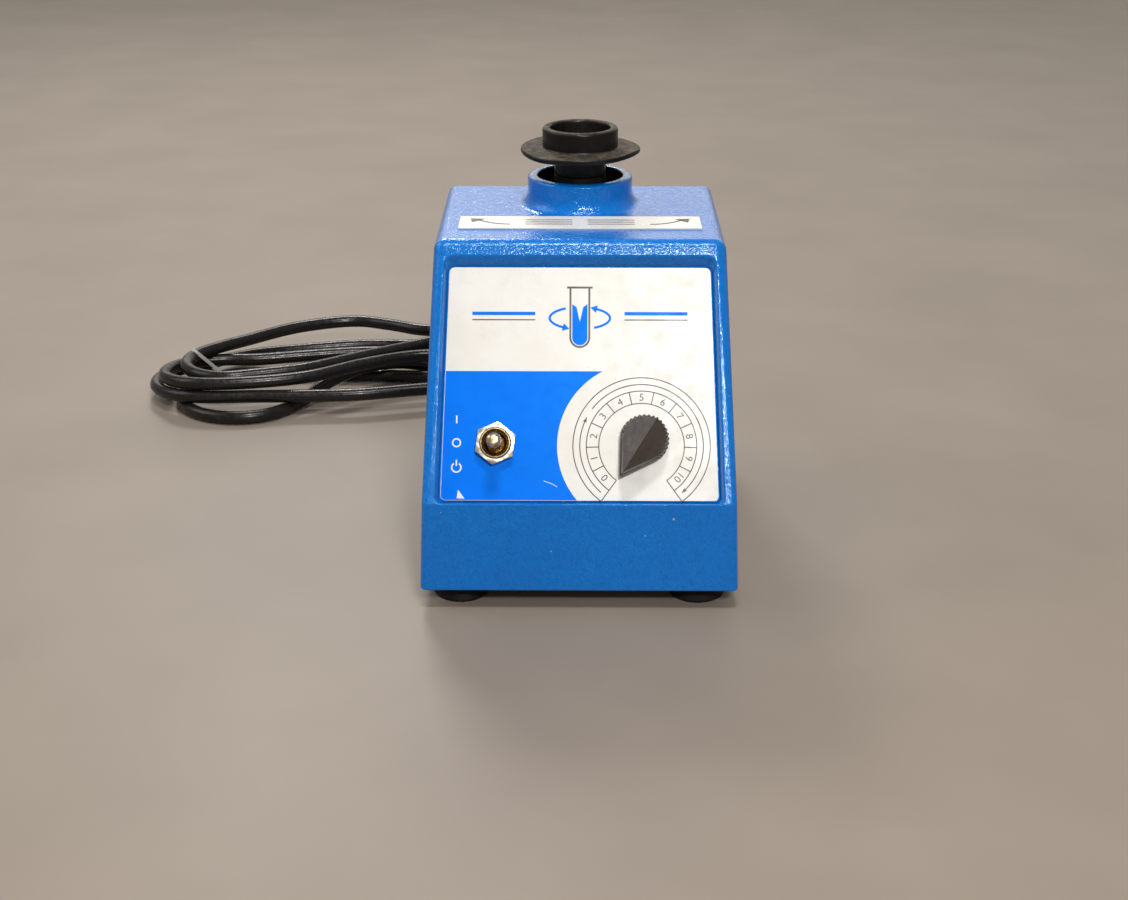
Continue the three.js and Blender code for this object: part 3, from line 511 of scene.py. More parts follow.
def circuit_board():
    """Green board with paler tracks round irregular cells."""
    s = Surface("circuit_board", (0.03, 0.13, 0.05), 0.42, specular_ior_level=0.5)
    cells = s.node("ShaderNodeTexVoronoi", feature="DISTANCE_TO_EDGE")
    cells.inputs["Scale"].default_value = 1 / (3.4 * MM)
    s.link(s.place, cells.inputs["Vector"])
    tracks = s.ramp(cells.outputs["Distance"], (0.06, 1.0), (0.1, 0.0))
    s.colour(s.mix(tracks, (0.022, 0.11, 0.045), (0.05, 0.2, 0.08)))
    s.bump((tracks, 0.05, 0.5), (s.noise(0.5), 0.02, 0.3))
    return s.material


def floor_finish():
    s = Surface("studio_floor", (0.26, 0.22, 0.185), 0.5, specular_ior_level=0.3)
    s.colour(s.ramp(s.noise(90, detail=4), (0.3, (0.245, 0.208, 0.174)), (0.7, (0.275, 0.234, 0.197))))
    s.bump((s.noise(1.2, detail=3), 0.05, 0.1))
    return s.material


LOOK = {
    "paint": wrinkle_paint(),
    "label": label_white(),
    "blue_ink": label_ink("blue_ink", (0.0, 0.15, 0.84), (0.0, 0.175, 0.92), tint=(0.1, 0.5, 1)),
    "dark_ink": label_ink("dark_ink", (0.045, 0.038, 0.034), (0.085, 0.075, 0.067)),
    "white_ink": label_ink("white_ink", (0.8, 0.82, 0.85), (0.66, 0.71, 0.78)),
    "cup": cup_rubber(),
    "rubber": moulded("black_rubber", (0.006, 0.006, 0.006), (0.013, 0.012, 0.011), 0.6, 0.5, 0.06, 0.16),
    "knob": moulded("knob_plastic", (0.05, 0.04, 0.034), (0.075, 0.06, 0.052), 0.34, 0.3, 0.04),
    "plastic": moulded("switch_plastic", (0.02, 0.02, 0.023), (0.035, 0.035, 0.038), 0.45),
    "cord": moulded("cord_jacket", (0.009, 0.008, 0.007), (0.014, 0.0125, 0.011), 0.26, 1.4, 0.004, 0.3),
    "tie": moulded("grey_tie", (0.32, 0.31, 0.3), (0.42, 0.4, 0.38), 0.4),
    "film": moulded("capacitor_case", (0.5, 0.36, 0.08), (0.56, 0.42, 0.12), 0.4),
    "nickel": metal("nickel_plate", (0.86, 0.82, 0.74), (0.55, 0.46, 0.33), 0.26, patch=2.5),
    "brass": metal("brass", (0.66, 0.5, 0.23), (0.3, 0.21, 0.1), 0.3, patch=2),
    "lever": metal("worn_lever_plate", (0.74, 0.6, 0.4), (0.13, 0.08, 0.04), 0.26, patch=1.3),
    "steel": metal("zinc_steel", (0.5, 0.51, 0.52), (0.36, 0.36, 0.36), 0.36, brushed=(1, 14, 1), patch=11),
    "aluminium": metal("cast_aluminium", (0.62, 0.62, 0.63), (0.45, 0.45, 0.46), 0.42, patch=8),
    "laminations": laminated(),
    "copper": wound(),
    "board": circuit_board(),
}


# ---- camera, then the cord ----
def add_camera():
    data = bpy.data.cameras.new("camera")
    data.sensor_width = 36
    data.lens = 54.26
    camera = shown("camera", data)
    camera.location = (-0.00124, -0.66178, 0.30975)
    camera.rotation_euler = (rad(90 - 22.76), 0, rad(0.446))
    bpy.context.scene.camera = camera


CORD_START = [[20, 97, 22], [20, 104, 22]]  # inside the strain relief
ROUTE = [
    [20, 111.3, 22],
    [20, 114.5, 22],
    [20, 117.7, 21.8],
    [19.9, 120.9, 21.4],
    [19.7, 124.1, 20.7],
    [19.3, 127.3, 19.8],
    [18.7, 130.5, 18.7],
    [17.9, 133.6, 17.4],
    [16.9, 136.6, 16],
    [15.6, 139.5, 14.5],
    [14, 142.3, 12.9],
    [12.1, 145, 11.2],
    [9.9, 147.5, 9.6],
    [7.4, 149.9, 8.1],
    [4.6, 152.1, 6.7],
    [2.4, 153.5, 5.9],
]
FLOOR_RUN = 3.4  # height of the cord's centre where it lies on the bench
SECOND = 9.9  # and where it lies on other strands, one or two deep
THIRD = 16.4
TO_HANK = [
    [-4, 156.7, 4.2],
    [-13, 159.5, 3.5],
    [-40, 163, FLOOR_RUN],
    [-80, 166, FLOOR_RUN],
    [-112, 168.5, FLOOR_RUN],
    [-142, 170.5, FLOOR_RUN],
]
# Each fold of the hank: middle (x, y), radius, start and end angle, height in and out, and the run after it.
FOLDS = [
    ((-168, 139.5), 31.5, 90, 270, FLOOR_RUN, FLOOR_RUN,
     [[-153, 112, 3.4], [-140, 127, 3.6], [-128, 148, 6.5], [-112, 161, 9.9],
      [-94, 169.5, 9.9], [-74, 175, 5.6]]),
    ((-52, 196), 22, -90, 90, FLOOR_RUN, FLOOR_RUN,
     [[-83, 216, 3.4], [-121, 215, 3.4], [-151, 208, 3.4], [-176, 196, 4.6]]),
    ((-184, 149.5), 30.5, 118, 270, 5.8, SECOND,
     [[-160, 120, 9.9], [-135, 121, 9.9], [-110, 123, 9.9], [-85, 129, 9.9]]),
    ((-62, 161), 26.5, -90, 90, SECOND, SECOND,
     [[-85, 186.5, 9.9], [-117, 185, 9.9], [-146, 179, 9.9], [-168, 174, 9.9]]),
    ((-183, 146), 26, 95, 270, 10.4, THIRD,
     [[-158, 123, 16.4], [-134, 131, 16.4], [-108, 150, 16.4], [-82, 162, 16.4]]),
    ((-54, 184), 21.5, -90, 90, THIRD, THIRD,
     [[-82, 203, 16.4], [-102, 212, 16.4], [-121, 218, 16.4], [-150, 208, 16.4], [-174, 187, 16.4]]),
    ((-177, 151.5), 22, 138, 270, 16.8, THIRD,
     [[-160, 134, 16.4], [-138, 142, 16.4], [-111, 161, 16.4], [-85, 177, 16.8],
      [-62, 186, 19.5], [-38, 190, 22.9]]),
]
TO_PLUG = [[-18, 194, 20], [-3, 198, 15], [8, 198, 12.6], [22, 198, 12.4]]


def fold_points(middle, r, start, end, z_in, z_out):
    """Points round one fold, anticlockwise, easing from one height to the other."""
    steps = max(4, round((end - start) / 30))
    points = []
    for k in range(steps + 1):
        t = k / steps
        angle = rad(start + (end - start) * t)
        rise = z_in + (z_out - z_in) * (3 * t * t - 2 * t**3)
        points.append([middle[0] + r * math.cos(angle), middle[1] + r * math.sin(angle), rise])
    return points


def smooth_line(points, per=8):
    """A centripetal Catmull-Rom curve through the points."""
    line = [Vector(p) for p in points]
    line = [2 * line[0] - line[1], *line, 2 * line[-1] - line[-2]]
    result = []
    for p0, p1, p2, p3 in zip(line, line[1:], line[2:], line[3:]):
        t0 = 0
        t1 = t0 + math.sqrt((p1 - p0).length)
        t2 = t1 + math.sqrt((p2 - p1).length)
        t3 = t2 + math.sqrt((p3 - p2).length)
        for k in range(per):
            t = t1 + (t2 - t1) * k / per
            a1 = p0.lerp(p1, (t - t0) / (t1 - t0))
            a2 = p1.lerp(p2, (t - t1) / (t2 - t1))
            a3 = p2.lerp(p3, (t - t2) / (t3 - t2))
            b1 = a1.lerp(a2, (t - t0) / (t2 - t0))
            b2 = a2.lerp(a3, (t - t1) / (t3 - t1))
            result.append(b1.lerp(b2, (t - t1) / (t2 - t1)))
    result.append(line[-2])
    return result


def cord_path():
    points = CORD_START + ROUTE + TO_HANK
    for *fold, run in FOLDS:
        points += fold_points(*fold) + run
    return smooth_line(points + TO_PLUG)


def cord_curve(line):
    curve = bpy.data.curves.new("mains_cord", "CURVE")
    curve.dimensions = "3D"
    curve.bevel_depth = CORD_D / 2 * MM
    curve.bevel_resolution = 5
    curve.use_fill_caps = True
    spline = curve.splines.new("POLY")
    spline.points.add(len(line) - 1)
    for point, spot in zip(spline.points, line):
        point.co = (*(spot * MM), 1)
    spline.use_smooth = True
    curve.materials.append(LOOK["cord"])
    return shown("mains_cord", curve)


def strain_relief():
    """A flanged sleeve that tapers to the cord, ringed with slots so that it bends."""
    y0 = EXIT.y
    end = y0 + RELIEF_LENGTH
    root, root_r = y0 - 6, 5.2  # the part inside the wall
    flange_r = 9
    wide, narrow = 6.6, CORD_D / 2 + 1.2
    profile = [(CORD_BORE, root), (root_r, root), (root_r, y0 + 0.3)]
    profile += [(flange_r, y0 + 0.3, 0.5), (flange_r, y0 + 2.8, 0.7), (6.9, y0 + 4.2, 0.8)]
    slots = 6
    pitch = (RELIEF_LENGTH - 8) / slots
    for k in range(slots):
        y = y0 + 5.6 + pitch * k
        r = wide - (wide - narrow) * (y - y0) / RELIEF_LENGTH
        profile += [(r, y, 0.25), (r - 1.1, y + 0.5, 0.3), (r - 1.15, y + 1.5, 0.3), (r - 0.15, y + 2, 0.25)]
    profile += [(CORD_D / 2 + 1, end, 0.4), (CORD_BORE, end)]
    place = Matrix.Translation((EXIT.x, 0, EXIT.z)) @ Z_TO_Y
    return piece("strain_relief_sleeve", turned(filleted(profile, 4), 48), "rubber",
                 stands_for=["strain_relief"], place=place)


def plug_body():
    """A moulded plug: a ribbed sleeve, finger grips and a flat face."""
    start, neck, back = PLUG["start"], PLUG["neck"], PLUG["back"]
    profile = [(CORD_BORE, start), (CORD_BORE + 1.1, start, 0.4)]
    for k in range(4):  # ribs of the sleeve
        x = start + 3 + 3.6 * k
        r = CORD_BORE + 1.3 + 0.35 * k
        profile += [(r, x, 0.25), (r - 0.9, x + 0.5, 0.25), (r - 0.8, x + 1.4, 0.25),
                    (r + 0.15, x + 1.9, 0.25)]
    profile += [(6.4, neck - 2, 0.8), (9.6, neck + 0.5, 1.6), (11.2, neck + 4.5, 2.5)]
    for k in range(3):  # finger grips
        x = neck + 6 + 2.6 * k
        profile += [(11.3, x, 0.3), (10.6, x + 0.6, 0.3), (10.6, x + 1.2, 0.3), (11.4, x + 1.8, 0.3)]
    profile += [(11.8, back - 3.5, 0.8), (11.8, back, 0.7), (0, back), (0, neck), (CORD_BORE, neck)]
    place = Matrix.Translation((0, PLUG["y"], PLUG["z"])) @ Z_TO_X
    return piece("mains_plug", turned(filleted(profile, 4), 64), "cord",
                 stands_for=["plug_body"], place=place)


def plug_blade(side):
    """A flat blade with its tip rounded and a hole near it."""
    low, high = cad_box(f"plug_blade_{side}")
    tip = 1.4
    outline = filleted([(low.x, low.z), (high.x, low.z, tip), (high.x, high.z, tip), (low.x, high.z)])
    hole = circle(high.x - 3.6, (low.z + high.z) / 2, 1.5, 32)
    bm = flat([outline, hole], -high.y, -low.y, 0.2)
    return piece(f"mains_blade_{side}", bm, "brass", stands_for=[f"plug_blade_{side}"],
                 place=Matrix.Rotation(rad(90), 4, "X"))


def earth_pin():
    low, high = cad_box("plug_earth_pin")
    r = (high.y - low.y) / 2
    profile = [(0, low.x), (r, low.x), (r, high.x - 1, 1.2), (r * 0.45, high.x, 0.4), (0, high.x)]
    place = Matrix.Translation((0, PLUG["y"], (low.z + high.z) / 2)) @ Z_TO_X
    return piece("mains_earth_pin", turned(filleted(profile, 5), 40), "brass",
                 stands_for=["plug_earth_pin"], place=place)


TIE = {"middle": Vector((-194, 167.8, 10.6)), "normal": Vector((0.56, 0.5, 0.66)), "near": 22, "gap": 0.3}
TIE_HALF = {"width": 0.9, "thick": 0.25}


def hank_tie(path):
    """A thin flat tie drawn tight round the strands that cross its plane at the left fold."""
    middle, normal = TIE["middle"], TIE["normal"].normalized()
    across = normal.cross(Vector((0, 0, 1))).normalized()
    up = across.cross(normal)
    edges = []  # points round each strand where the plane cuts it
    for a, b in zip(path, path[1:]):
        before, after = (a - middle).dot(normal), (b - middle).dot(normal)
        if before * after > 0 or (a - middle).length > TIE["near"]:
            continue
        spot = a.lerp(b, before / (before - after))
        run = (b - a).normalized()
        slant = (run - normal * run.dot(normal)).normalized()
        stretch = 1 / abs(run.dot(normal)) - 1
        for px, py in circle(0, 0, CORD_D / 2 + TIE["gap"], 32):
            out = across * px + up * py
            edge = spot + out + slant * out.dot(slant) * stretch - middle
            edges.append((edge.dot(across), edge.dot(up)))
    outline = [Vector(edges[i]) for i in convex_hull_2d(edges)]
    wide, thick = TIE_HALF["width"], TIE_HALF["thick"]
    section = rectangle(-wide, wide, -thick, thick, 0.2, 2)
    rings = []
    for i, here in enumerate(outline):
        along = (outline[(i + 1) % len(outline)] - outline[i - 1]).normalized()
        out = across * along.y - up * along.x
        point = middle + across * here.x + up * here.y
        point.z = max(point.z, 1)
        rings.append([point + normal * u + out * v for u, v in section])
    bm = bmesh.new()
    walls(bm, rings, around=True)
    return piece("hank_tie", bm, "tie")


def mains_cord():
    path = cord_path()
    cord = cord_curve(path)
    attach(cord, "base")
    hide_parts("cord_tube", "cord_hank")
    on_it = [strain_relief(), plug_body(), plug_blade("left"), plug_blade("right"), earth_pin(),
             hank_tie(path)]


add_camera()
mains_cord()


# ---- housing ----
def half_width(z):
    return HALF_WIDTH - (z - RIM_Z) * SIDE_DRAFT


FRONT_RUN = (CHIN.y + HALF_DEPTH) / (CHIN.z - RIM_Z)
BACK_RUN = (HALF_DEPTH - TOP_BACK_Y) / (TOP_Z - RIM_Z)
TOP_FRONT_Y = CHIN.y + (TOP_Z - CHIN.z) * math.tan(rad(PANEL_TILT))


def side_outline(low):
    """Side outline as (y, z, corner radius), clockwise from the front bottom."""
    return [
        (-HALF_DEPTH - (RIM_Z - low) * FRONT_RUN, low, 2.5),
        (CHIN.y, CHIN.z, 2.5),
        (TOP_FRONT_Y, TOP_Z, 4.8),
        (TOP_BACK_Y, TOP_Z, 3.5),
        (HALF_DEPTH + (RIM_Z - low) * BACK_RUN, low, 2.5),
    ]


def moved_corner(outline, i, in_before, in_after):
    """A corner of the outline, its two edges moved in by those distances."""
    def edge(p, q, inward):
        along = (Vector(q[:2]) - Vector(p[:2])).normalized()
        return Vector(p[:2]) + Vector((along.y, -along.x)) * inward, along

    n = len(outline)
    a, da = edge(outline[i - 1], outline[i], in_before)
    b, db = edge(outline[i], outline[(i + 1) % n], in_after)
    t = (b - a).cross(db) / da.cross(db)
    return a + da * t


def quarter(steps):
    """Angles over a quarter turn."""
    return [k / steps * math.pi / 2 for k in range(steps + 1)]


def outer_points():
    """Balls at the upper corners and rounded feet of the walls, to be wrapped."""
    points = []
    outline = side_outline(RIM_Z)
    around, up = 48, 24
    lean = math.hypot(1, SIDE_DRAFT)
    for i in (1, 2, 3):
        r = outline[i][2]
        y, z = moved_corner(outline, i, r, r)
        x = half_width(z) - r * lean
        for j in range(up + 1):
            level = math.pi * (j / up - 0.5)
            for px, py in circle(0, 0, r * math.cos(level), around):
                spot = Vector((px, py, r * math.sin(level)))
                points += [Vector((side * x, y, z)) + spot for side in (-1, 1)]
    lip = 0.9  # rounding of the bottom rim
    for i, run in ((0, FRONT_RUN), (4, -BACK_RUN)):
        y_wall, _, r = outline[i]
        inward = 1 if i == 0 else -1
        for level in quarter(6):
            z = RIM_Z + lip * (1 - math.sin(level))
            y = y_wall + (z - RIM_Z) * run + inward * r * math.hypot(1, run)
            x = half_width(z) - r * lean
            for px, py in circle(0, 0, r - lip * (1 - math.cos(level)), around):
                points += [Vector((side * x + px, y + py, z)) for side in (-1, 1)]
    return points


def inner_points():
    """Corners of the hollow inside the walls, open below."""
    outline = side_outline(RIM_Z - 12)
    thick = [WALL, PANEL_WALL, WALL, WALL, 0]
    points = []
    for i in range(len(outline)):
        y, z = moved_corner(outline, i, thick[i - 1], thick[i])
        x = half_width(z) - WALL
        points += [Vector((side * x, y, z)) for side in (-1, 1)]
    return points


def hull(points):
    bm = bmesh.new()
    for p in points:
        bm.verts.new(p)
    bmesh.ops.remove_doubles(bm, verts=bm.verts, dist=WELD)
    result = bmesh.ops.convex_hull(bm, input=bm.verts)
    loose = [v for v in result["geom_interior"] if isinstance(v, bmesh.types.BMVert)]
    bmesh.ops.delete(bm, geom=loose, context="VERTS")
    bmesh.ops.dissolve_limit(bm, angle_limit=rad(0.05), verts=bm.verts, edges=bm.edges)
    return bm


# The label's recess in the panel's frame, where half_low and half_high are its half widths.
POCKET_MOUTH = {"low": 0.3, "high": 94.8, "half_low": 54.5, "half_high": 51.7}
POCKET_FLOOR = {"low": 1.3, "high": 91.5, "half_low": 53.2, "half_high": 50.3}


def pocket():
    """The recess for the label: slanted walls, round corners, and soft edges at its mouth and floor."""
    def ring(z, grow):
        share = min(1, (z + RECESS_DEPTH) / RECESS_DEPTH)
        at = {key: low + (POCKET_MOUTH[key] - low) * share for key, low in POCKET_FLOOR.items()}
        r = 2.2 + grow
        corners = [
            (-at["half_low"] - grow, at["low"] - grow, r),
            (at["half_low"] + grow, at["low"] - grow, r),
            (at["half_high"] + grow, at["high"] + grow, r + 1),
            (-at["half_high"] - grow, at["high"] + grow, r + 1),
        ]
        return [PANEL @ Vector((px, py, z)) for px, py in filleted(corners, 8)]

    floor_soft, mouth_soft = 0.4, 0.7
    rings = []
    for turn in quarter(5):
        rise = floor_soft * (1 - math.cos(turn))
        rings.append(ring(rise - RECESS_DEPTH, -floor_soft * (1 - math.sin(turn))))
    for turn in quarter(7):
        rings.append(ring(-mouth_soft + mouth_soft * math.sin(turn), mouth_soft * (1 - math.cos(turn))))
    rings.append(ring(3, mouth_soft + 1.5))
    bm = bmesh.new()
    loops = walls(bm, rings)
    bm.faces.new(loops[0][::-1])
    bm.faces.new(loops[-1])
    return bm


def collar():
    """The raised ring round the neck before it is bored, rolled over at its rim and flared at its foot."""
    outer, top, flare, tall = (COLLAR[key] for key in ("outer", "top", "flare", "flare_tall"))
    foot = TOP_Z - 0.03
    profile = [(0, foot - 2), (outer + flare, foot - 2)]
    for turn in quarter(12):
        profile.append((outer + flare * (1 - math.sin(turn)), foot + tall * (1 - math.cos(turn))))
    rim = [(outer, top - 3), (outer, top, 1.6), (0, top)]
    return turned(profile + filleted(rim, 8, closed=False), 128, 0, AXIS_Y)


def neck_bore():
    """What the bore through the collar and the top takes away, with a soft edge at its mouth."""
    r, top = COLLAR["bore"], COLLAR["top"]
    soft = 0.9
    profile = [(0, NECK_FLOOR), (r, NECK_FLOOR)]
    for turn in quarter(8):
        profile.append((r + soft * (1 - math.cos(turn)), top - soft + soft * math.sin(turn)))
    profile += [(r + soft, top + 2), (0, top + 2)]
    return turned(profile, 128, 0, AXIS_Y)


def housing():
    """The cast shell, its foot bosses and the collar in one, with everything that is cut out of it."""
    to_exit = Matrix.Translation((EXIT.x, 0, EXIT.z)) @ Z_TO_Y
    tools = [("DIFFERENCE", hull(inner_points()))]
    low, high = FOOT_BOSS["low"], FOOT_BOSS["high"]
    tools += [("UNION", rod(FOOT_BOSS["r"], low, high, x, y, 24)) for x, y in FEET]
    for x, y in FEET:
        wall = math.copysign(half_width(high) - 1, x)
        tools.append(("UNION", box(min(x, wall), max(x, wall), y - 2, y + 2, low, high - 0.1)))
    tools += [
        ("UNION", laid(rod(11, EXIT.y - 9, EXIT.y), to_exit)),
        ("DIFFERENCE", laid(rod(5.5, EXIT.y - 15, EXIT.y + 5), to_exit)),
        ("UNION", collar()),
        ("DIFFERENCE", neck_bore()),
        ("DIFFERENCE", pocket()),
        ("DIFFERENCE", laid(rod(SHAFT_HOLE, HOLES_FROM, 0), ON_SHAFT)),
        ("DIFFERENCE", laid(rod(SWITCH_HOLE, HOLES_FROM, 0), ON_SWITCH)),
    ]
    tools += [("DIFFERENCE", rod(FOOT_HOLE, RIM_Z, 24, x, y, 24)) for x, y in FEET]
    bm = carved(hull(outer_points()), *tools)
    made = piece("housing_casting", bm, "paint", stands_for=["housing_shell", "collar"],
                 sharp=28)
    made.data.materials.append(LOOK["rubber"])  # the bore's wall is made black: painted shade inside the deep bore
    # faces of the bore's wall take the black material as painted shade
    for face in made.data.polygons:
        middle = face.center / MM
        out = math.hypot(middle.x, middle.y - AXIS_Y)
        if out < COLLAR["bore"] + 0.4 and middle.z > NECK_FLOOR and abs(face.normal.z) < 0.5:
            face.material_index = 1


housing()


# ---- labels and their print ----
INK = 0.05  # thickness of a printed layer
INK_LOW = LABEL_FACE - 0.01


def label_outline(margin=0.0):
    """Low and high edge of the front label, and its half width at a height, moved in by a margin."""
    edge = 0.5 + margin
    wide, narrow = POCKET_FLOOR["half_low"], POCKET_FLOOR["half_high"]
    foot, head = POCKET_FLOOR["low"], POCKET_FLOOR["high"]

    def half(y):
        return wide - edge - (y - foot) * (wide - narrow) / (head - foot)

    return foot + edge, head - edge, half


def front_label():
    low, high, half = label_outline()
    corners = [(-half(low), low, 2), (half(low), low, 2), (half(high), high, 2), (-half(high), high, 2)]
    holes = [circle(*SHAFT, SHAFT_HOLE), circle(*SWITCH, SWITCH_HOLE)]
    bm = flat([filleted(corners, 8), *holes], LABEL_FACE - LABEL_THICK, LABEL_FACE, 0.12)
    piece("front_label_plate", bm, "label", stands_for=["front_label"], place=PANEL)


def ink(name, groups, look, raised=0.0, extra=()):
    """Print on the front label; each group is an outline and the holes in it."""
    parts = [flat(group, INK_LOW + raised, LABEL_FACE + INK + raised) for group in groups]
    piece(name, joined([*parts, *extra]), look, place=PANEL)


BLOCK_TOP = 51.1
DISC_R = 32  # white disc that the dial is printed on


def blue_block():
    """The blue field behind the switch, bitten out by the dial's disc."""
    low, _, half = label_outline(0.2)
    start = math.degrees(math.acos((BLOCK_TOP - DIAL.y) / DISC_R))
    end = math.degrees(math.acos((low - DIAL.y) / DISC_R))
    bite = moved(dial_arc(DISC_R, -start, -end, 2), *DIAL)
    corners = [(bite[-1][0], low), (-half(low), low, 1.8), (-half(BLOCK_TOP), BLOCK_TOP)]
    edge = filleted(corners, 8, closed=False)[1:] + bite
    ink("blue_field_print", [[edge, circle(*SWITCH, SWITCH_HOLE)]], "blue_ink")


CELLS = 11
CELL = 26.18  # degrees for each number
SWEEP = CELLS * CELL / 2
RING = {"inner": 16.2, "outer": 20.9, "edge": 26.0, "arrow": 23.4}
LINE = 0.4
DIGIT = 3.95  # font size


def arrow_head(angle, r, length=2.3, width=1.5):
    """An arrowhead on the dial that points clockwise."""
    span = math.degrees(length / r)
    back = angle - span
    return [dial_point(angle, r), dial_point(back, r + width / 2), dial_point(angle - span * 0.8, r),
            dial_point(back, r - width / 2)]


def glyph(text, size):
    """Text as a thin solid centred on the origin."""
    curve = bpy.data.curves.new("glyph", "FONT")
    curve.body = text
    curve.size = size
    curve.extrude = (INK + 0.01) / 2
    curve.resolution_u = 5
    bm = curve_to_bmesh(curve)
    low = [min(v.co[i] for v in bm.verts) for i in range(3)]
    high = [max(v.co[i] for v in bm.verts) for i in range(3)]
    bmesh.ops.translate(bm, vec=[-(a + b) / 2 for a, b in zip(low, high)], verts=bm.verts)
    return bm


def dial_print():
    """The speed scale: two rings of numbered cells, an outer arc and two arrows."""
    lines = [stroke(dial_arc(RING[key], -SWEEP, SWEEP, 2), LINE) for key in ("inner", "outer", "edge")]
    for k in range(CELLS + 1):
        angle = -SWEEP + CELL * k
        far = RING["edge"] if k in (0, CELLS) else RING["outer"]
        lines.append(stroke([dial_point(angle, RING["inner"]), dial_point(angle, far)], LINE))
    for start, end in ((-139, -62), (-53, 140)):
        lines.append(stroke(dial_arc(RING["arrow"], start, end - 4), LINE))
        lines.append(arrow_head(end, RING["arrow"]))
    numbers = []
    for number in range(CELLS):
        angle = -SWEEP + CELL * (number + 0.5)
        x, y = dial_point(angle, (RING["inner"] + RING["outer"]) / 2)
        place = Matrix.Translation((DIAL.x + x, DIAL.y + y, LABEL_FACE + (INK - 0.01) / 2))
        numbers.append(laid(glyph(str(number), DIGIT), place @ Matrix.Rotation(rad(-angle), 4, "Z")))
    ink("dial_print", [[moved(line, *DIAL)] for line in lines], "dark_ink", extra=numbers)


def switch_print():
    """Line, circle and momentary symbols beside the three switch positions, and two scuffs in the blue."""
    x, r, pen = -46.6, 1.75, 0.55
    on_y, off_y, momentary_y = 31.1, 23.7, 14.3
    scratch = [(-13.5, 9.3), (-10.4, 8.2), (-8.4, 7.1)]
    scuff = [(-46.4, 2.6), (-43.4, 2.5), (-45.9, 5.9)]
    groups = [
        [stroke([(x, on_y), (x, on_y + 3)], pen)],
        [circle(x, off_y, r, 40), circle(x, off_y, r - pen, 40)],
        [stroke(moved(dial_arc(r, 32, 328, 8), x, momentary_y), pen)],
        [stroke([(x, momentary_y + 0.6), (x, momentary_y + 2.9)], pen)],
        [scuff],
        [stroke(scratch, 0.22)],
    ]
    ink("switch_symbols_print", groups, "white_ink", raised=INK)


def tube_symbol():
    """A plain drawing of a test tube with arrows round it, and rules to each side."""
    centre = (0, 72.5)
    w, top, low = 3.6, 10.5, -8.5
    pen = 0.75
    bend = [(w * math.cos(rad(a)), low + w * math.sin(rad(a))) for a in range(180, 361, 12)]
    wall = [(-w, top), *bend, (w, top)]
    lip = [(-w - 1.3, top + 0.3), (w + 1.3, top + 0.3)]
    dark = [stroke(moved(line, *centre), pen) for line in (wall, lip)]
    inside = w - 0.7
    swirl = [(-inside, 4.4), (-w * 0.35, 3.2), (0, -2.4), (w * 0.35, 3.2), (inside, 4.4), (inside, low)]
    bowl = [(inside * math.cos(rad(a)), low + inside * math.sin(rad(a))) for a in range(-12, -181, -12)]
    blue = [moved(swirl + bowl, *centre)]
    for side in (0, 180):
        angles = [rad(a + side) for a in range(-62, 63, 6)]
        arc = [(11.5 * math.cos(a), -1 + 4.2 * math.sin(a)) for a in angles]
        blue.append(stroke(moved(arc, *centre), 0.9))
        tip = Vector(arc[-1])
        back = (Vector(arc[-2]) - tip).normalized()
        out = Vector((-back.y, back.x))
        head = [tip - back * 2.2, tip + out * 1.5 + back * 0.4, tip - out * 1.5 + back * 0.4]
        blue.append(moved(head, *centre))
    for side in (-1, 1):
        x0, x1 = sorted((side * 17, side * 41))
        blue.append([(x0, 72.6), (x1, 72.6), (x1, 73.9), (x0, 73.9)])
        dark.append([(x0, 70.6), (x1, 70.6), (x1, 71.05), (x0, 71.05)])
    ink("tube_symbol_print", [[outline] for outline in dark], "dark_ink")
    ink("swirl_symbol_print", [[outline] for outline in blue], "blue_ink")


def top_label():
    """The strip on the top face, with a curved arrow at each end and rules between them."""
    low, high = cad_box("top_label")
    bm = flat([rectangle(low.x, high.x, low.y, high.y, 0.4)], TOP_Z + 0.02, high.z, 0.1)
    piece("top_label_strip", bm, "label", stands_for=["top_label"])
    middle = (low.y + high.y) / 2
    outlines = []
    for side in (-1, 1):
        tail = [(side * (27.5 + 12.5 * t), middle - 3.4 + 6.2 * t**2.2) for t in (k / 12 for k in range(13))]
        tip = Vector(tail[-1])
        head = [tip + Vector((side * x, y)) for x, y in ((3.4, 2.2), (-2.6, 1.6), (2.4, -3.6))]
        outlines += [stroke(tail, 1.1), moved(head, 0, 0)]
    for y in (2.9, -0.2, -3.3):
        for side in (-1, 1):
            outlines.append(stroke([(side * 3, middle + y), (side * 21.5, middle + y)], 0.8))
    parts = [flat([outline], high.z - 0.01, high.z + INK) for outline in outlines]
    piece("top_label_print", joined(parts), "dark_ink")


front_label()
blue_block()
dial_print()
switch_print()
tube_symbol()
top_label()


# ---- speed knob ----
KNOB = {"r": 9.15, "tip": 17.4, "bottom": -2.8, "ledge": 0.9}
FLUTES = 32
FLUTE_DEPTH = 0.4
KNOB_TURN = 147.3  # degrees to the pointer's place at rest


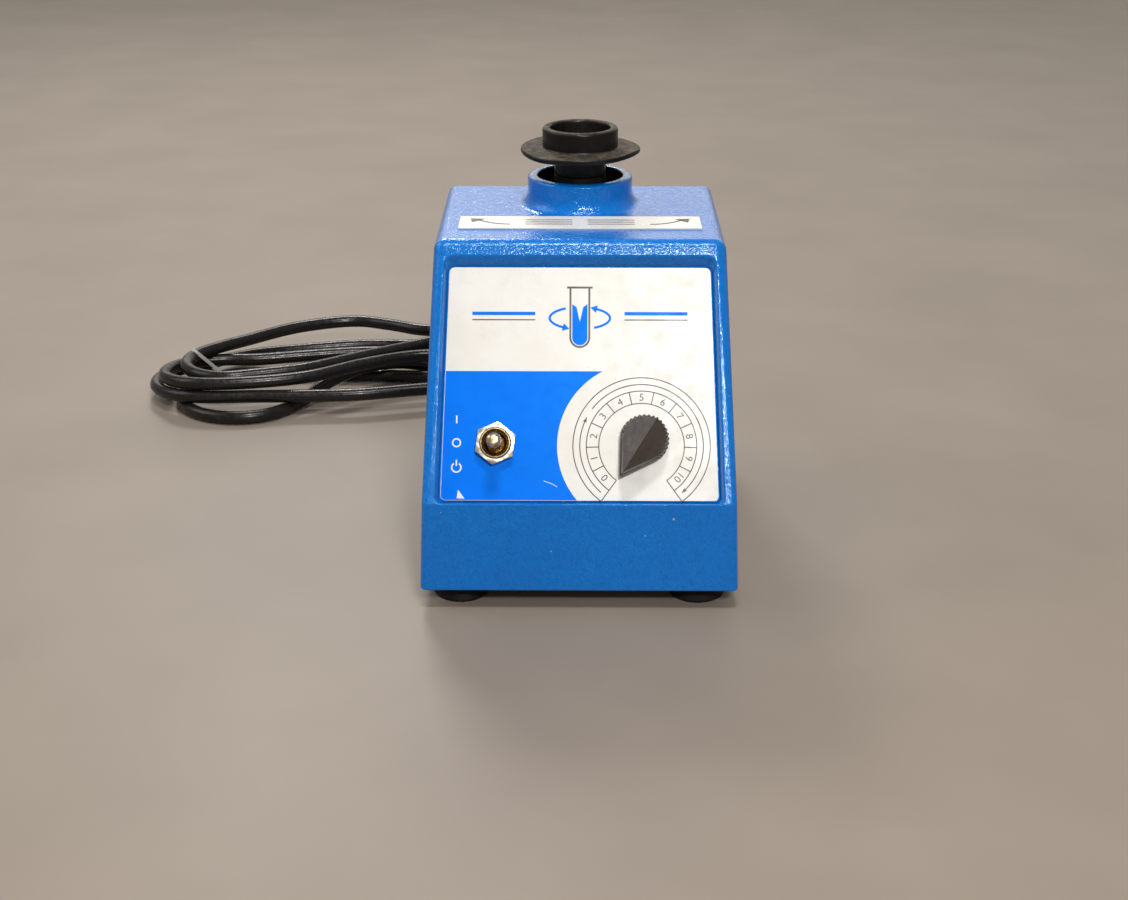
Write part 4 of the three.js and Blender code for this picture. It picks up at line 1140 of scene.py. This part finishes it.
def knob():
    """A pointer knob: fluted round back, straight sided nose, skirt, and a roof of two slopes."""
    r, tip, bottom, ledge = KNOB.values()
    ridge_back, ridge_tip, slope = 12.4, 7.6, 0.78
    tangent = math.degrees(math.acos(r / tip))

    def outline(scale, flutes):
        points = []
        steps = 160
        for k in range(steps + 1):
            angle = tangent + (360 - 2 * tangent) * k / steps  # clockwise from the nose
            round_back = min(1, max(0, (min(angle, 360 - angle) - tangent - 8) / 10))
            flute = FLUTE_DEPTH * flutes * round_back * math.cos(rad(angle - 180) * FLUTES)
            points.append(dial_point(angle, scale * r + flute))
        return points + [(-0.35, scale * tip - 0.5), (0, scale * tip - 0.3), (0.35, scale * tip - 0.5)]

    def roof(x, y):
        along = (y + r) / (r + tip)
        return ridge_back + (ridge_tip - ridge_back) * along - slope * abs(x)

    skirt, upper = outline(1, 0.7), outline(0.955, 1)
    crown_scale = 0.885
    bm = bmesh.new()
    loops = walls(bm, [
        [(x, y, bottom) for x, y in skirt],
        [(x, y, ledge - 0.15) for x, y in skirt],
        [(x * 0.99, y * 0.99, ledge) for x, y in skirt],
        [(x, y, ledge) for x, y in upper],
        [(x, y, roof(x, y)) for x, y in outline(crown_scale, 0.8)],
    ])
    bm.faces.new(loops[0][::-1])
    top = loops[-1]
    back = Vector((0, -crown_scale * r))
    rear = top.index(min(top, key=lambda v: (v.co.xy - back).length))
    bm.faces.new(top[-2:] + top[: rear + 1])
    bm.faces.new(top[rear:-1])
    return bm


def speed_knob():
    """The knob, hollow below and bored for its shaft, with its sharp edges softened."""
    hollow = rod(6.9, -4, -0.6, sides=64)
    bore = rod(3.05, -1, 7)
    bm = carved(knob(), ("DIFFERENCE", hollow), ("DIFFERENCE", bore))
    place = ON_SHAFT @ Matrix.Rotation(rad(KNOB_TURN), 4, "Z")
    made = piece("pointer_knob", bm, "knob", body="knob", stands_for=["speed_knob"], sharp=24,
                 place=place)
    soften = made.modifiers.new("soft_edges", "BEVEL")
    soften.width = 0.22 * MM
    soften.segments = 3
    soften.limit_method = "ANGLE"
    soften.angle_limit = rad(26)
    soften.harden_normals = False


speed_knob()


# ---- nuts, bushing and toggle ----
def hex_nut(name, across_flats, bore, z0, z1, place, turn, node):
    """A six sided nut, its corners taken off by a cone above and below."""
    corner = across_flats / math.sqrt(3)
    flats = across_flats / 2
    fall = 0.5
    sides = [dial_point(60 * k + turn, corner) for k in range(6)]
    cone = [(0, z0 - 1), (flats + 0.2, z0 - 1), (flats + 0.1, z0), (corner + 0.1, z0 + fall),
            (corner + 0.1, z1 - fall), (flats - 0.1, z1), (flats - 0.1, z1 + 1), (0, z1 + 1)]
    bm = carved(flat([sides, circle(0, 0, bore)], z0, z1), ("INTERSECT", turned(cone)))
    piece(name, bm, "nickel", stands_for=[node], sharp=24, place=place)


def thread(outer, start, end, pitch=0.75, depth=0.3):
    """The outer side of a threaded bush as (r, z) points from start up to end."""
    points = []
    z = start
    while z + pitch <= end:
        points += [(outer - depth, z), (outer, z + pitch * 0.4), (outer, z + pitch * 0.6)]
        z += pitch
    return points + [(outer - depth, z)]


NUT_LOW = LABEL_FACE + 0.3


def toggle_switch():
    """The threaded bushing with its cone mouth, and the bat lever on its ball."""
    bushing = [(4.15, -13), (5.6, -13), *thread(5.95, -12.6, 1.1)]
    bushing += [(5.75, 1.25), (5.55, 1.6, 0.15), (5.25, 1.6, 0.15), (4.2, -0.6, 0.4), (4.15, -1.6)]
    piece("threaded_bushing", turned(filleted(bushing, 3), 72), "brass",
          stands_for=["toggle_bushing"], place=ON_SWITCH, sharp=40)
    hex_nut("bushing_nut", 14.3, 6.1, NUT_LOW, 0.2, ON_SWITCH, 8, "toggle_nut")
    ball = [(0, -9.4), (1.6, -9.4), (3.75, -8, 1.5), (3.75, -4.2, 1.8), (2, -2.6, 0.8)]
    bat = [(1.95, 1, 3), (2.9, 11.2, 3), (2.75, 13, 1.2), (1.7, 13.95, 0.8), (0, 14)]
    piece("toggle_bat", turned(filleted(ball + bat, 7), 64), "lever", body="toggle",
          stands_for=["toggle_lever"], place=ON_SWITCH, sharp=60)


toggle_switch()
hex_nut("control_bush_nut", 10.5, 4.85, NUT_LOW, -1.2, ON_SHAFT, 12, "control_nut")


# ---- head ----
def flange_sag(bm):
    """Bends the cup's thin flange a little out of flat and out of round."""
    outer, flange = CUP["outer"], CUP["flange"]
    for v in bm.verts:
        r = v.co.xy.length
        if r <= outer + 0.05 or v.co.z > CUP["flange_top"] + 0.05:
            continue
        out = (r - outer) / (flange - outer)
        angle = math.atan2(v.co.y, v.co.x)
        ripple = math.cos(2 * angle + 0.9) + 0.45 * math.cos(5 * angle + 2.1)
        v.co.z += 0.42 * out**1.5 * ripple - 0.12 * out
        spread = 1 + 0.006 * out * math.cos(3 * angle + 0.4)
        v.co.x *= spread
        v.co.y *= spread


def cup():
    """The rubber cup: thick rolled rim, bowl, and a thin flange that is no longer quite flat."""
    rim, outer, mouth, flange, top, thick = CUP.values()
    under = top - thick
    foot, socket = 146, 149.6  # the cup's lower end, and the top of the hole for its carrier
    corners = [
        (NECK_BORE, foot),
        (NECK_R, foot, 0.3),
        (NECK_R, under, 1.4),
        (flange, under, 0.7),
        (flange, top, 0.8),
        (outer, top, 0.9),
        (outer, rim, 1.5),
        (mouth, rim, 1.2),
        (mouth - 0.5, 157, 5),
        (7.5, 152.2, 3),
        (0, 152),
        (0, socket),
        (NECK_BORE, socket),
    ]
    profile = filleted(corners, 8)
    fine = []
    for a, b in zip(profile, profile[1:] + profile[:1]):
        cuts = max(1, round((Vector(b) - Vector(a)).length / 2.2)) if min(a[0], b[0]) > 8 else 1
        fine += [tuple(Vector(a).lerp(Vector(b), k / cuts)) for k in range(cuts)]
    bm = turned(fine, 144)
    flange_sag(bm)
    piece("rubber_cup_head", bm, "cup", body="head", stands_for=["rubber_cup"], sharp=50,
          place=Matrix.Translation((0, HEAD_Y, 0)))


def neck():
    """The neck below the cup with a groove near its foot, and the dust ring round it."""
    low, high = cad_box("neck_sleeve")
    groove = NECK_R - 0.6
    profile = [(NECK_BORE, low.z), (NECK_R, low.z, 0.5), (NECK_R, low.z + 3, 0.3), (groove, low.z + 3.6, 0.3)]
    profile += [(groove, low.z + 4.6, 0.3), (NECK_R, low.z + 5.2, 0.3), (NECK_R, high.z, 0.25),
                (NECK_BORE, high.z)]
    piece("rubber_neck", turned(filleted(profile, 5), 96, 0, HEAD_Y), "rubber", body="head",
          stands_for=["neck_sleeve"])
    low, high = cad_box("dust_ring")
    inner, outer = 14.4, high.x
    ring = [(inner, low.z, 0.6), (outer, low.z, 0.3), (outer, high.z, 0.3), (inner, high.z, 0.9)]
    piece("rubber_dust_ring", turned(filleted(ring, 6), 96, 0, AXIS_Y), "rubber",
          stands_for=["dust_ring"])


cup()
neck()


# ---- underside ----
def foot(where, x, y):
    """A rubber foot with a recess for its screw."""
    recess = 4
    profile = [(5, 0.02, 0.5), (10.4, 0.02, 0.3), (11, 0.9, 0.5), (9.4, 5.4, 1), (9, 8.08, 0.3),
               (FOOT_HOLE, 8.08), (FOOT_HOLE, recess), (5, recess, 0.3)]
    piece(f"rubber_foot_{where}", turned(filleted(profile, 5), 64, x, y), "rubber",
          stands_for=[f"foot_{where}"])


def foot_screw(where, x, y):
    """A pan headed screw with a cross in its head."""
    profile = [(0, 1.3), (3.1, 1.3, 0.7), (3.9, 2.1, 0.5), (3.9, 3.7, 0.2), (1.7, 3.7, 0.1)]
    profile += [*thread(1.7, 4.4, 21.2, 0.7, 0.28), (1, 22), (0, 22)]
    long, short = 2.2, 0.42
    arms = [("DIFFERENCE", box(-px, px, -py, py, 0.8, 2.7)) for px, py in ((long, short), (short, long))]
    bm = carved(turned(filleted(profile, 4), 40), *arms)
    piece(f"pan_screw_{where}", bm, "nickel", stands_for=[f"foot_screw_{where}"], sharp=40,
          place=Matrix.Translation((x, y, 0)))


def base_plate():
    """A pressed steel plate with vent slots and a hole at each foot."""
    low, high = cad_box("base_plate")
    edge = rectangle(low.x, high.x, low.y, high.y, 3, 8)
    holes = [circle(x, y, FOOT_HOLE, 32) for x, y in FEET]
    for k in range(-2, 3):
        holes.append(rectangle(k * 11 - 2.5, k * 11 + 2.5, -20, 8, 2.45, 8))
    bm = flat([edge, *holes], low.z, high.z, 0.3)
    piece("underside_plate", bm, "steel", stands_for=["base_plate"])


for x, y in FEET:
    where = f"{'front' if y < 0 else 'rear'}_{'left' if x < 0 else 'right'}"
    foot(where, x, y)
    foot_screw(where, x, y)
base_plate()


# ---- CAD nodes that stay: the works inside ----
KEPT = {
    "laminations": ["motor_stator", "rotor_core"],
    "copper": ["motor_coil"],
    "aluminium": ["motor_lower_bracket", "motor_upper_bracket", "head_carrier", "board_rail_left",
                  "board_rail_right", "heat_sink", "control_shaft"],
    "steel": [*(f"motor_bolt_{k}" for k in range(1, 5)), "lower_bearing", "upper_bearing", "head_bearing",
              "eccentric_hub", "push_pin", "switch_bracket", "potentiometer"],
    "nickel": ["motor_shaft", "touch_lever"],
    "plastic": ["cooling_fan", "touch_switch", "toggle_body"],
    "board": ["control_board"],
    "film": ["capacitor"],
}
for look, names in KEPT.items():
    for name in names:
        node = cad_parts[name]
        node.data.materials.clear()
        node.data.materials.append(LOOK[look])


# ---- studio ----
def softbox(name, place, aim, size, power, tint=(1, 1, 1)):
    """A rectangular light turned towards a point."""
    light = bpy.data.lights.new(name, "AREA")
    light.shape = "RECTANGLE"
    light.size, light.size_y = size
    light.energy = power
    light.color = tint
    obj = shown(name, light)
    obj.location = place
    obj.rotation_euler = (Vector(aim) - Vector(place)).to_track_quat("-Z", "Y").to_euler()
    obj.visible_camera = False


def studio():
    bm = bmesh.new()
    bmesh.ops.create_grid(bm, x_segments=8, y_segments=8, size=4)
    floor = shown("floor", mesh_of("floor", bm))
    floor.data.materials.append(floor_finish())
    warm, cream = (1, 0.97, 0.93), (1, 0.94, 0.84)
    softbox("key", (0.24, -1.15, 0.9), (0, 0, 0.1), (0.2, 0.15), 10, warm)
    softbox("overhead", (0.05, -0.4, 1.35), (0, 0, 0.08), (0.26, 0.18), 8, warm)
    softbox("back_key", (-0.3, 1.05, 1.0), (-0.08, 0.1, 0.05), (0.3, 0.2), 7, warm)
    softbox("left_card", (-0.95, 0.05, 0.8), (0, 0, 0.1), (0.7, 0.6), 3)
    softbox("back_card", (0, 2.3, 0.95), (0, 0, 0.12), (3, 1.2), 11, cream)
    world = bpy.data.worlds.new("studio_air")
    world.use_nodes = True
    air = world.node_tree.nodes["Background"]
    air.inputs["Color"].default_value = (1, 0.955, 0.9, 1)
    air.inputs["Strength"].default_value = 0.29
    bpy.context.scene.world = world
    bpy.context.scene.view_settings.view_transform = "Standard"


studio()
